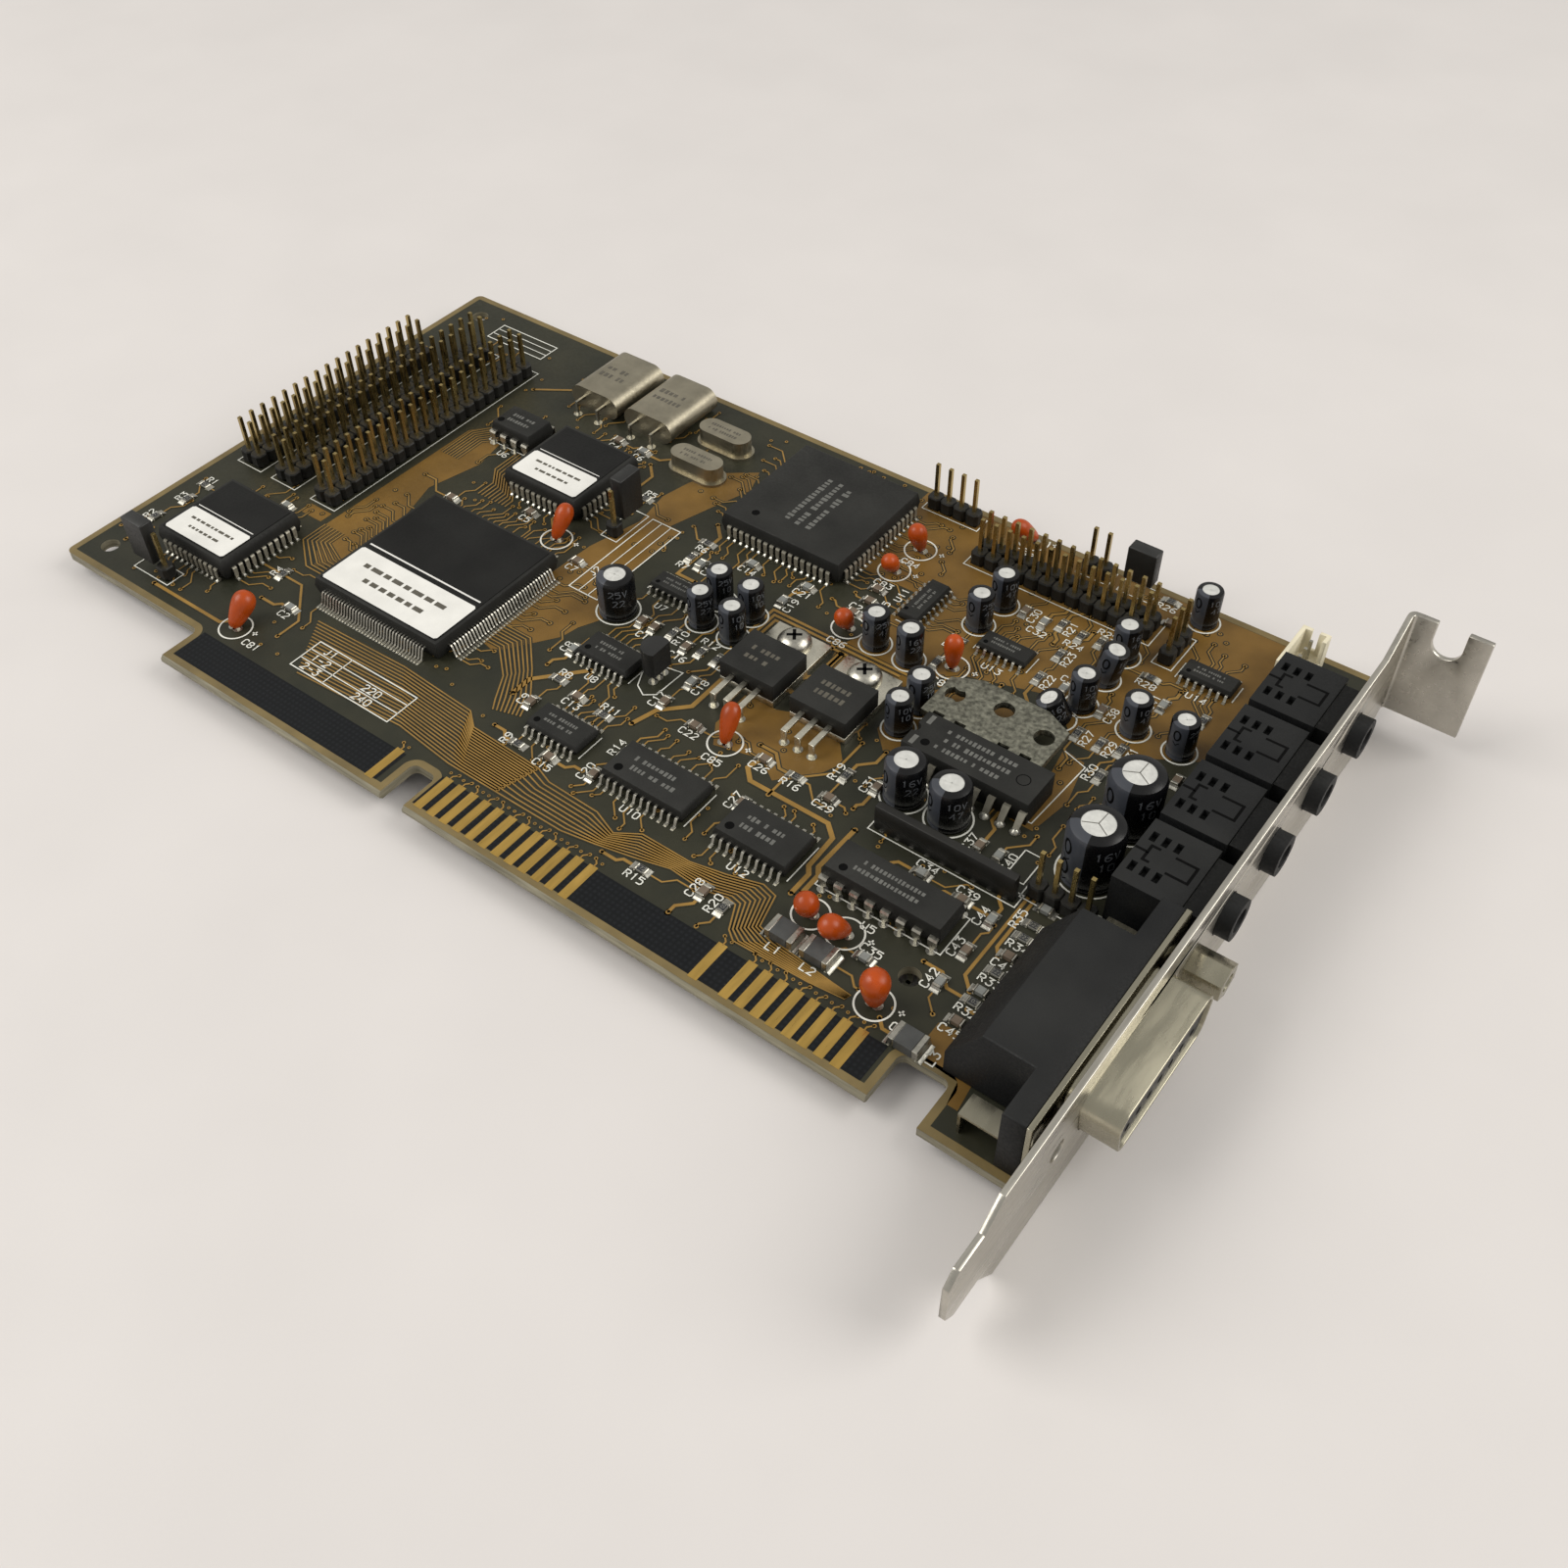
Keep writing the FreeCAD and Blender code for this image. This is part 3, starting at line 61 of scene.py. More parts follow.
# CAD nodes that are named more than once
JACKS = [f"audio_jack_{number}" for number in range(1, 5)]
DRIVE_BASES = [f"drive_header_base_{number}" for number in range(1, 4)]
HEADER_BASES = DRIVE_BASES + ["feature_header_base", "small_header_bases"]
DRIVE_PINS = [f"drive_header_pins_{number}" for number in range(1, 4)]
HEADER_PINS = DRIVE_PINS + ["feature_header_pins", "small_header_pins"]
CARRIERS, CARRIER_LEADS = ["codec_body", "firmware_chip_bodies"], ["codec_leads", "firmware_chip_leads"]
DIPS = ["timer_body", "eeprom_body"]
CHIP_BODIES = ["controller_body", *CARRIERS, *DIPS, "small_outline_bodies"]
LETTERS = {"chip_resistors": "R", "chip_capacitors": "C", "ferrite_chips": "L"}


def at(column, row):
    """Place of a layout column and row."""
    return FIRST_X + column * (LEFT_STEP if column < 0 else RIGHT_STEP), FIRST_Y + row * ROW_STEP


def grid_path(places):
    return [at(*place) for place in places]


# Materials

def srgb(*channels):
    """Colour picked on a 0 to 255 scale, as linear light."""
    shares = [value / 255 for value in channels]
    return (*(s / 12.92 if s <= 0.04045 else ((s + 0.055) / 1.055) ** 2.4 for s in shares), 1.0)


def tinted(colour, factor):
    """Colour made darker or lighter."""
    return (*(min(1.0, channel * factor) for channel in colour[:3]), 1.0)


class Graph:
    """Nodes of one material, ending in a principled shader."""

    def __init__(self, shine):
        self.material = bpy.data.materials.new("surface")
        self.material.use_nodes = True
        self.tree = self.material.node_tree
        self.shader = self.tree.nodes["Principled BSDF"]
        self.shader.inputs["Specular IOR Level"].default_value = shine
        self.place = self.node("ShaderNodeTexCoord").outputs["Object"]

    def feed(self, socket, value):
        """Link a socket from another one, or set its value."""
        if isinstance(value, bpy.types.NodeSocket):
            self.tree.links.new(value, socket)
        else:
            socket.default_value = value

    def node(self, kind, inputs=(), **settings):
        """New node with its settings and (name, value) inputs."""
        made = self.tree.nodes.new(kind)
        for key, value in settings.items():
            setattr(made, key, value)
        for key, value in inputs:
            self.feed(made.inputs[key], value)
        return made

    def noise(self, scale, detail=3.0, stretch=None):
        """Noise over the surface, drawn out along an axis where stretch says so."""
        place = self.place
        if stretch:
            place = self.node("ShaderNodeMapping", [("Vector", place), ("Scale", stretch)]).outputs["Vector"]
        inputs = [("Vector", place), ("Scale", scale), ("Detail", detail)]
        return self.node("ShaderNodeTexNoise", inputs).outputs["Fac"]

    def span(self, source, low=0.0, high=1.0, start=0.3, end=0.7):
        """Source from start to end, spread over low to high."""
        inputs = [("Value", source), ("From Min", start), ("From Max", end), ("To Min", low), ("To Max", high)]
        return self.node("ShaderNodeMapRange", inputs).outputs["Result"]

    def mix(self, factor, *colours):
        """Two colours, or colour sources, blended by a factor."""
        made = self.node("ShaderNodeMix", [("Factor", factor)], data_type="RGBA")
        for socket, colour in zip((s for s in made.inputs if s.type == "RGBA"), colours):
            self.feed(socket, colour)
        return next(s for s in made.outputs if s.type == "RGBA")

    def times(self, first, second):
        return self.node("ShaderNodeMath", [(0, first), (1, second)], operation="MULTIPLY").outputs[0]

    def upward(self):
        """Upward part of the surface's normal."""
        normal = self.node("ShaderNodeNewGeometry").outputs["Normal"]
        return self.node("ShaderNodeSeparateXYZ", [(0, normal)]).outputs["Z"]

    def finish(self, colour, rough, height, relief):
        """The material, once colour, roughness and bump reach the shader."""
        bump = self.node("ShaderNodeBump", [("Strength", relief), ("Distance", 0.00005), ("Height", height)])
        for key, source in (("Base Color", colour), ("Roughness", rough), ("Normal", bump.outputs["Normal"])):
            self.feed(self.shader.inputs[key], source)
        return self.material


def surface(colour, rough, metal=0, spread=0.15, scale=500, grain=2500, relief=0.15, stretch=None, dust=0,
            shine=0.5, uneven=0.1):
    """Material with mottled colour, uneven gloss, a fine grain and, where asked, dust on what faces up."""
    graph = Graph(shine)
    graph.shader.inputs["Metallic"].default_value = metal
    colour = srgb(*colour)
    mottle = graph.span(graph.noise(scale, stretch=stretch))
    tone = graph.mix(mottle, tinted(colour, 1 - spread), tinted(colour, 1 + spread))
    if dust:
        patches = graph.span(graph.noise(scale * 0.4, 6.0), 0.0, dust, 0.35, 0.75)
        facing = graph.span(graph.upward(), start=0.3, end=0.9)
        tone = graph.mix(graph.times(patches, facing), tone, srgb(104, 104, 99))
    fine = graph.noise(grain, 2.0, stretch)
    gloss = graph.span(fine, max(0.05, rough - uneven), min(1.0, rough + uneven))
    return graph.finish(tone, gloss, fine, relief)


def board_surface():
    """Dark olive lacquer on both faces and pale, streaked laminate on the cut edges."""
    graph = Graph(0.3)
    lacquer = graph.mix(graph.span(graph.noise(120, 4.0)), srgb(38, 39, 29), srgb(50, 49, 36))
    layers = graph.span(graph.noise(900, 3.0, (0.15, 0.15, 3.0)))
    laminate = graph.mix(layers, srgb(104, 99, 82), srgb(146, 140, 120))
    level = graph.node("ShaderNodeMath", [(0, graph.upward())], operation="ABSOLUTE").outputs[0]
    tone = graph.mix(graph.span(level, start=0.8, end=0.95), laminate, lacquer)
    return graph.finish(tone, graph.span(graph.noise(1500), 0.38, 0.55), graph.noise(3000), 0.12)


def weave_surface():
    """Bare dark laminate with its glass weave showing."""
    graph = Graph(0.2)
    inputs = [("Scale", 380), ("Distortion", 0.6), ("Vector", graph.place)]
    waves = [graph.node("ShaderNodeTexWave", inputs, bands_direction=axis).outputs["Fac"] for axis in "XY"]
    cross = graph.times(*waves)
    tone = graph.mix(cross, srgb(15, 17, 19), srgb(27, 29, 32))
    return graph.finish(tone, graph.span(graph.noise(800), 0.35, 0.5), cross, 0.12)


M = {
    "board": board_surface(),
    "weave": weave_surface(),
    "copper": surface((114, 86, 40), 0.42, spread=0.2, scale=140, shine=0.25),
    "trace": surface((144, 112, 56), 0.4, scale=300, shine=0.25),
    "gap": surface((44, 43, 32), 0.45, spread=0.12, scale=120, shine=0.3),
    "rim": surface((114, 98, 60), 0.5, spread=0.18, scale=200),
    "ink": surface((218, 218, 209), 0.6, spread=0.1, scale=900),
    "gold": surface((198, 162, 86), 0.36, 0.9, 0.14, relief=0.12, stretch=(1, 0.12, 1)),
    "solder": surface((178, 176, 166), 0.34, 0.85, 0.18, 900, 1800, 0.3),
    "tin": surface((184, 181, 170), 0.34, 1, 0.14, 700),
    "lead": surface((152, 148, 134), 0.42, 0.5, 0.14, 700),
    "resin": surface((33, 33, 31), 0.62, spread=0.16, scale=260, relief=0.3, dust=0.09, shine=0.25),
    "black": surface((26, 26, 25), 0.5, scale=300, relief=0.25, dust=0.12),
    "dusty": surface((18, 19, 20), 0.58, spread=0.2, scale=150, relief=0.35, dust=0.1, shine=0.3),
    # near-black: painted shade in slots, recesses, holes and under the header cells, and also the real black print
    # of the cans' minus marks
    "recess_shade_and_print": surface((5, 5, 5), 0.8, spread=0.1, shine=0.1),
    "header": surface((22, 21, 18), 0.5, scale=300, relief=0.2, dust=0.1, shine=0.4),
    "pin": surface((178, 157, 104), 0.28, 1, 0.2, 400, stretch=(1, 1, 0.2)),
    "steel": surface((190, 186, 176), 0.34, 1, 0.12, 160, 1500, 0.12, (1, 0.1, 1)),
    "shell": surface((172, 167, 148), 0.27, 1, 0.1, 160, 900, 0.05, (1, 0.15, 1)),
    "sleeve": surface((9, 9, 11), 0.28, spread=0.1, scale=300, relief=0.01, shine=0.4, uneven=0.02),
    "stripe": surface((62, 65, 72), 0.3, spread=0.06, relief=0.01, uneven=0.02),
    "print": surface((96, 99, 104), 0.5, scale=900),
    "foil": surface((238, 238, 233), 0.45, 0.7, 0.08, 600, 1500, 0.2),
    # grey of the large cans' vent lines: painted shade in the scored creases
    "scored_vent_shade": surface((120, 118, 112), 0.5, 0.6, 0.1),
    "orange": surface((168, 66, 8), 0.34, spread=0.2, scale=300, grain=900, relief=0.25, shine=0.4),
    "can": surface((168, 161, 142), 0.42, 1, 0.14, 260, 1800, 0.2),
    "tab": surface((214, 210, 194), 0.34, 1, 0.12),
    "fin": surface((136, 135, 122), 0.48, 1, 0.5, 1500, 2200, 0.4),
    "nylon": surface((222, 214, 188), 0.55, spread=0.08, scale=300),
    "tan": surface((106, 92, 77), 0.5, spread=0.14, scale=600),
    "grey": surface((128, 130, 126), 0.5, spread=0.14, scale=600),
    "glass": surface((40, 41, 44), 0.35, spread=0.14, scale=600),
    "alumina": surface((122, 121, 113), 0.55, spread=0.12, scale=600),
    "ferrite": surface((66, 67, 66), 0.5, spread=0.18, relief=0.3),
    "film": surface((18, 18, 17), 0.45, spread=0.2, scale=200, relief=0.1, dust=0.05, shine=0.2),
    "paper": surface((226, 225, 220), 0.5, spread=0.05, scale=300, relief=0.08),
    "mark": surface((96, 96, 92), 0.6, scale=900),
    "etch": surface((84, 80, 70), 0.6, scale=900),
    "floor": surface((214, 210, 208), 0.7, spread=0.02, scale=30, relief=0.05),
}
for name, material in M.items():
    material.name = name


# Mesh building

def circle(x, y, radius, count=16):
    return [(x + radius * math.cos(math.tau * i / count), y + radius * math.sin(math.tau * i / count))
            for i in range(count)]


def rectangle(x0, y0, x1, y1):
    return [(x0, y0), (x1, y0), (x1, y1), (x0, y1)]


def octagon(x0, y0, x1, y1, c, z):
    """Rectangle with corners cut by c, as a loop at a height."""
    return [(x0 + c, y0, z), (x1 - c, y0, z), (x1, y0 + c, z), (x1, y1 - c, z),
            (x1 - c, y1, z), (x0 + c, y1, z), (x0, y1 - c, z), (x0, y0 + c, z)]


def placed(axis, along, across, height=0.0):
    """Place given along a level axis, across it and upwards."""
    return (across, along, height) if axis else (along, across, height)


def in_row(count, pitch):
    """Evenly spaced offsets around a middle."""
    return [(index - (count - 1) / 2) * pitch for index in range(count)]


class Piece:
    """Faces collected in millimetres, made into one object that rides on the card."""

    def __init__(self, name, *materials):
        self.name = name
        self.materials = materials
        self.points, self.faces, self.kinds = [], [], []

    def add(self, points, faces, kind=None):
        """Faces on points of their own, in the first material unless kind names another."""
        start = len(self.points)
        self.points += [tuple(point) for point in points]
        self.faces += [tuple(start + index for index in face) for face in faces]
        self.kinds += [kind or self.materials[0]] * len(faces)

    def face(self, points, kind=None):
        self.add(points, [range(len(points))], kind)

    def flat(self, corners, level, kind=None):
        """One level face."""
        self.face([(x, y, level) for x, y in corners], kind)

    def disc(self, x, y, level, radius, count, kind=None):
        self.flat(circle(x, y, radius, count), level, kind)

    def ring(self, x, y, level, inner, outer, count, kind=None):
        """Level ring."""
        points = [(*point, level) for radius in (inner, outer) for point in circle(x, y, radius, count)]
        self.add(points, [(i, count + i, count + (i + 1) % count, (i + 1) % count) for i in range(count)], kind)

    def stack(self, loops, kind=None, kinds=None):
        """Closed skin through loops of equally many points; kinds picks a side face's material by band and side."""
        count = len(loops[0])
        low = len(self.points)
        last = (len(loops) - 1) * count
        self.add([point for loop in loops for point in loop], [range(count)[::-1], range(last, last + count)], kind)
        for band in range(len(loops) - 1):
            for side in range(count):
                after = (side + 1) % count
                self.faces.append((low + side, low + after, low + count + after, low + count + side))
                self.kinds.append(kinds(band, side) if kinds else kind or self.materials[0])
            low += count

    def block(self, low, high, chamfer=0.0, kind=None):
        """Box whose upright and top edges may be chamfered."""
        (x0, y0, z0), (x1, y1, z1), c = low, high, chamfer
        loops = [[(x, y, z) for x, y in rectangle(x0, y0, x1, y1)] for z in (z0, z1)]
        if c:
            loops = [octagon(x0, y0, x1, y1, c, z0), octagon(x0, y0, x1, y1, c, z1 - c),
                     octagon(x0 + c, y0 + c, x1 - c, y1 - c, c / 2, z1)]
        self.stack(loops, kind)

    def line(self, path, width, level, kind=None, closed=False):
        """Level line of even width with mitred corners."""
        spots = [Vector(point) for point in path]
        count = len(spots)
        last = count if closed else count - 1
        runs = [(spots[(i + 1) % count] - spots[i]).normalized() for i in range(last)]
        left, right = [], []
        for i, here in enumerate(spots):
            normals = [Vector((-runs[j].y, runs[j].x)) for j in (i - 1, i) if closed or 0 <= j < last]
            mitre = sum(normals, Vector((0.0, 0.0)))
            if mitre.length < 0.2:
                mitre = normals[0]
            mitre.normalize()
            reach = width / 2 / max(0.4, mitre.dot(normals[0]))
            left.append((*(here + mitre * reach), level))
            right.append((*(here - mitre * reach), level))
        faces = [(count + i, count + (i + 1) % count, (i + 1) % count, i) for i in range(last)]
        self.add(left + right, faces, kind)

    def strip(self, path, side, widths, thick, kind=None):
        """Bent strip of rectangular section; side is the unit vector across its width."""
        runs = [(b - a).normalized() for a, b in zip(path, path[1:])]
        loops = []
        for i, (point, width) in enumerate(zip(path, widths)):
            normals = [side.cross(run) for run in runs[max(0, i - 1):i + 1]]
            mitre = sum(normals, Vector()).normalized()
            out = mitre * (thick / 2 / max(0.5, mitre.dot(normals[0])))
            half = side * (width / 2)
            loops.append([point - half - out, point + half - out, point + half + out, point - half + out])
        self.stack(loops, kind)

    def turned(self, profile, count, placing, kind=None, kinds=None):
        """Turned skin from (radius, height) pairs, set in place by a matrix."""
        loops = [[placing @ Vector((x, y, height)) for x, y in circle(0, 0, radius, count)]
                 for radius, height in profile]
        self.stack(loops, kind, kinds)

    def make(self, slot=None, replaces=(), smooth=30):
        """The finished object."""
        mesh = bpy.data.meshes.new(self.name)
        mesh.from_pydata([Vector(point) * 0.001 for point in self.points], [], self.faces)
        for key in self.materials:
            mesh.materials.append(M[key])
        mesh.polygons.foreach_set("material_index", [self.materials.index(kind) for kind in self.kinds])
        mesh.polygons.foreach_set("use_smooth", [True] * len(mesh.polygons))
        mesh.set_sharp_from_angle(angle=math.radians(smooth))
        made = bpy.data.objects.new(self.name, mesh)
        bpy.context.scene.collection.objects.link(made)
        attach(made, "root")
        if replaces:
            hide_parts(*replaces)


# Reading the CAD nodes

def solids_of(node):
    """Corner points, in millimetres, of each separate solid of a CAD node."""
    mesh = nodes[node].data
    points = np.array([vertex.co for vertex in mesh.vertices]) * 1000
    corners, same = np.unique(np.round(points, 4), axis=0, return_inverse=True)
    same = same.ravel()
    group = list(range(len(corners)))

    def head(index):
        while group[index] != index:
            group[index] = group[group[index]]
            index = group[index]
        return index

    for polygon in mesh.polygons:
        first, *others = (head(same[vertex]) for vertex in polygon.vertices)
        for other in others:
            group[head(other)] = head(first)
    found = {}
    for index in range(len(corners)):
        found.setdefault(head(index), []).append(index)
    return [corners[members] for members in found.values()]


def span_of(points):
    return points.min(0), points.max(0)


def spans(*names):
    """Low and high corner of each solid of some CAD nodes."""
    return [span_of(points) for node in names for points in solids_of(node)]


def box_of(node):
    """Low and high corner of a whole CAD node, in millimetres."""
    return [corner * 1000 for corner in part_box(node)]


def long_axis(low, high):
    """Level axis along which a box is longer."""
    return 0 if high[0] - low[0] > high[1] - low[1] else 1


def foot_of(points, level):
    """Middle of the points that lie no higher than just above a level."""
    return tuple(points[points[:, 2] < level + 0.05][:, :2].mean(0))


def nearest(places, centre):
    return min(places, key=lambda place: np.hypot(*(place - centre)[:2]))


def stood(base, direction):
    """Matrix that stands a turned form on a place, along a direction."""
    tilt = Vector((0, 0, 1)).rotation_difference(Vector(direction)).to_matrix().to_4x4()
    return Matrix.Translation(Vector(base)) @ tilt


def axis_of(points):
    """Placing matrix, length and radius of a turned solid, from its lower end up."""
    middle = points.mean(0)
    direction = np.linalg.svd(points - middle)[2][0]
    direction = direction * (1 if direction[2] > 0 else -1)
    reach = (points - middle) @ direction
    radius = np.linalg.norm(points - middle - np.outer(reach, direction), axis=1).max()
    return stood(middle + direction * reach.min(), direction), np.ptp(reach), radius


def can_of(points):
    """Placing matrix, length and radius of an upright or leaning can, from the board to its flat top."""
    upward = np.array(axis_of(points)[0].col[2])[:3]
    reach = points @ upward
    ring = points[reach > (reach.min() + reach.max()) / 2]
    top = ring.mean(0)
    direction = np.linalg.svd(ring - top)[2][2]
    direction = direction * (1 if direction[2] > 0 else -1)
    length = (top[2] - TOP) / direction[2]
    return stood(top - direction * length, direction), length, np.linalg.norm(ring - top, axis=1).max()


# Materials of the CAD nodes that stay in view, and the widths of their soft edges
STAYS = {
    "board": ["circuit_board"],
    "gold": ["edge_contacts"],
    "steel": ["mounting_bracket"],
    "shell": ["jackscrew", "game_port_shell", "game_port_board_locks"],
    "dusty": [*JACKS, "game_port_housing"],
    "black": ["game_port_insulator", "jumper_caps", "transistor_body"],
    "header": ["resistor_network"],
    "pin": HEADER_PINS,
    "nylon": ["wafer_connector"],
    "tin": ["wafer_connector_pins", "transistor_leads", "crystal_leads", "bead_leads"],
    "tab": ["regulator_frames"],
    "resin": [*CHIP_BODIES, "regulator_bodies", "amplifier_body"],
    "film": ["chip_labels"],
    "fin": ["amplifier_fin"],
    "can": ["crystal_cans"],
}
EDGES = {
    0.03: ["amplifier_body"],
    0.08: ["small_outline_bodies", "amplifier_fin"],
    0.1: ["regulator_frames"],
    0.12: ["mounting_bracket", "game_port_shell", "wafer_connector", "controller_body", "firmware_chip_bodies",
           *DIPS, "regulator_bodies"],
    0.15: ["codec_body", *JACKS],
    0.2: ["jackscrew", "jumper_caps", "resistor_network"],
    0.25: ["game_port_housing"],
}


def soften(node, width):
    """Round a CAD node's edges for the light to catch."""
    crease = math.radians(35)
    nodes[node].modifiers.new("weld", "WELD").merge_threshold = 0.000002
    bevel = nodes[node].modifiers.new("edges", "BEVEL")
    bevel.width = width * 0.001
    bevel.segments = 2
    bevel.limit_method = "ANGLE"
    bevel.angle_limit = crease
    mesh = nodes[node].data
    mesh.polygons.foreach_set("use_smooth", [True] * len(mesh.polygons))
    mesh.set_sharp_from_angle(angle=crease)


for key, names in STAYS.items():
    for name in names:
        nodes[name].data.materials.clear()
        nodes[name].data.materials.append(M[key])
for width, names in EDGES.items():
    for name in names:
        soften(name, width)


# Lettering: strokes through points of a grid four wide and six high
GLYPHS = {
    "0": "01 05 16 36 45 41 30 10 01", "1": "15 26 20", "2": "05 16 36 45 44 00 40",
    "3": "06 46 24 43 41 30 10 01", "4": "30 36 02 42", "5": "46 06 04 34 43 41 30 00",
    "6": "46 26 04 01 10 30 41 42 33 03", "7": "06 46 10",
    "8": "13 04 05 16 36 45 44 33 13 02 01 10 30 41 42 33", "9": "00 20 42 45 36 16 05 04 13 43",
    "R": "00 06 36 45 44 33 03,23 40", "C": "45 36 16 05 01 10 30 41", "U": "06 01 10 30 41 46",
    "J": "01 10 20 31 36", "L": "06 00 40", "V": "06 20 46", "+": "21 25,03 43", "-": "03 43",
}


def lettering(piece, string, x, y, height, turn, level, kind=None):
    """Line lettering centred on a place and turned by quarter turns."""
    unit = height / 6
    quarter = Matrix.Rotation(turn * math.pi / 2, 2)
    start = -(len(string) * 6 - 2) / 2
    for index, letter in enumerate(string):
        for stroke in GLYPHS[letter].split(","):
            path = [quarter @ Vector(((start + index * 6 + int(dot[0])) * unit, (int(dot[1]) - 3) * unit))
                    for dot in stroke.split()]
            piece.line([(x + p.x, y + p.y) for p in path], height * 0.17, level, kind)


# Leads. What is met on the way is kept for the copper: feet on the board, and pins that come out below it
feet = []
through = []
ACROSS_X = Vector((1.0, 0.0, 0.0))
# Stations of a bent lead: reach outwards, whether the rise is from the lead's top or the board, rise, and width
FOLDED = [(-0.35, True, -0.1, 0.74), (0.0, True, -0.1, 0.74), (0.12, True, -0.3, 0.74), (0.12, False, 1.0, 0.72),
          (0.1, False, 0.45, 0.5), (-0.12, False, 0.2, 0.48), (-0.4, False, 0.2, 0.48)]
DIP = [(-0.9, True, -0.12, 1.35), (-0.3, True, -0.12, 1.35), (-0.13, True, -0.35, 1.35), (-0.13, False, 1.2, 1.3),
       (-0.13, False, 0.8, 0.5), (-0.13, False, -1.0, 0.5)]


def bent(piece, stations, spot, top, side, thick):
    """Lead through its stations; spot gives the place for a reach and a height."""
    path = [spot(reach, (top if from_top else TOP) + rise) for reach, from_top, rise, _ in stations]
    piece.strip(path, side, [station[3] for station in stations], thick)


def solder_pad(piece, start, end, half):
    """Level patch of solder between two places; half is half its width as a vector."""
    piece.flat([place[:2] for place in (start - half, end - half, end + half, start + half)], TOP + PAD, "solder")


def gull_wings(name, node, thick):
    """Leads bent out of the body, down and flat onto their pads."""
    piece = Piece(name, "tin", "solder")
    for points in solids_of(node):
        low, high = span_of(points)
        axis = long_axis(low, high)
        near_low = points[points[:, axis] < low[axis] + 0.01][:, 2].mean()
        near_high = points[points[:, axis] > high[axis] - 0.01][:, 2].mean()
        way = 1 if near_high < near_low else -1
        reach, width = (high - low)[axis], (high - low)[1 - axis]
        start = low[axis] if way > 0 else high[axis]
        across = (low + high)[1 - axis] / 2
        head = high[2] - thick * 0.7
        foot = TOP + PAD + thick / 2
        drop = head - foot

        def spot(share, height=0.0):
            return Vector(placed(axis, start + way * share * reach, across, height))

        path = [spot(-0.12, head), spot(0.2, head), spot(0.3, head - drop * 0.12), spot(0.5, foot + drop * 0.14),
                spot(0.6, foot), spot(1.0, foot)]
        side = Vector(placed(axis, 0.0, 1.0))
        piece.strip(path, side, [width] * len(path), thick)
        solder_pad(piece, spot(0.45), spot(1.12), side * (width * 0.5 + 0.06))
        feet.append((spot(1.1), axis, way))
    piece.make("tinned_lead", [node])


def folded_leads():
    """Square carriers' leads: out of the body, down its side and folded under."""
    piece = Piece("carrier_lead_set", "lead", "solder")
    middles = [points.mean(0) for node in CARRIERS for points in solids_of(node)]
    for low, high in spans(*CARRIER_LEADS):
        axis = 1 - long_axis(low, high)
        centre = (low + high) / 2
        way = 1 if centre[axis] > nearest(middles, centre)[axis] else -1
        side = Vector(placed(axis, 0.0, 1.0))

        def spot(reach, height=0.0):
            return Vector(placed(axis, centre[axis] + way * reach, centre[1 - axis], height))

        bent(piece, FOLDED, spot, high[2], side, 0.18)
        half = side * 0.34
        solder_pad(piece, spot(-0.5), spot(0.75), half)
        upper, lower = spot(0.2, TOP + 0.32), spot(0.5, TOP + 0.12)
        piece.face([upper - half * 0.5, upper + half * 0.5, lower + half * 0.7, lower - half * 0.7], "solder")
        feet.append((spot(0.7), axis, way))
    piece.make("tinned_lead", CARRIER_LEADS)


def dip_set():
    """Dual in-line leads with wide shoulders and narrow feet through the board."""
    piece = Piece("dip_lead_set", "tin", "solder")
    middles = [points.mean(0) for node in DIPS for points in solids_of(node)]
    for low, high in spans("dip_leads"):
        centre = (low + high) / 2
        way = 1 if centre[1] > nearest(middles, centre)[1] else -1
        edge = high[1] if way > 0 else low[1]

        def spot(reach, height):
            return Vector((centre[0], edge + way * reach, height))

        bent(piece, DIP, spot, high[2], ACROSS_X, 0.25)
        through.append((centre[0], edge - way * 0.13))
    piece.make("tinned_lead", ["dip_leads"])


def amplifier_set():
    """Wide flat leads that slope from the amplifier's front down to their solder joints."""
    piece = Piece("amplifier_lead_set", "lead", "solder")
    for low, high in spans("amplifier_leads"):
        x = (low[0] + high[0]) / 2
        foot, head = low[1] + 0.3, high[2] - 0.2
        stations = [(high[1] + 0.2, head), (high[1] - 0.4, head), (foot, TOP + 0.4), (foot, TOP - 0.4)]
        piece.strip([Vector((x, y, z)) for y, z in stations], ACROSS_X, [1.15, 1.15, 0.9, 0.7], 0.3)
        piece.turned([(0.85, 0.0), (0.75, 0.2), (0.5, 0.45), (0.25, 0.6)], 14,
                     Matrix.Translation((x, foot, TOP + PAD)), "solder")
        through.append((x, foot))
    piece.make("tinned_lead", ["amplifier_leads"])


def hidden_pins():
    """Places where the pins of the other through-hole parts come out on the solder side."""
    for node in ("regulator_frames", "transistor_leads", "crystal_leads", "wafer_connector_pins"):
        for points in solids_of(node):
            low, high = span_of(points)
            if (high - low)[:2].max() < 6:  # a lead, and not a regulator's tab
                through.append(foot_of(points, low[2]))
    low, high = spans("resistor_network")[0]
    axis = long_axis(low, high)
    middle = (low + high) / 2
    for offset in in_row(round((high - low)[axis] / PIN_PITCH), PIN_PITCH):
        through.append(placed(axis, middle[axis] + offset, middle[1 - axis])[:2])
    for node in JACKS:
        low, high = box_of(node)
        y = (low.y + high.y) / 2
        through.extend((low.x + ahead, y + aside)
                       for ahead, aside in ((1.2, 0), (3.6, -4.4), (3.6, 4.4), (9.6, -4.4), (9.6, 4.4)))
    low, high = box_of("game_port_housing")
    for count, reach in zip(PORT_ROWS, (1.5, 4.34)):
        through.extend((low.x + reach, (low.y + high.y) / 2 + offset) for offset in in_row(count, PORT_PITCH))


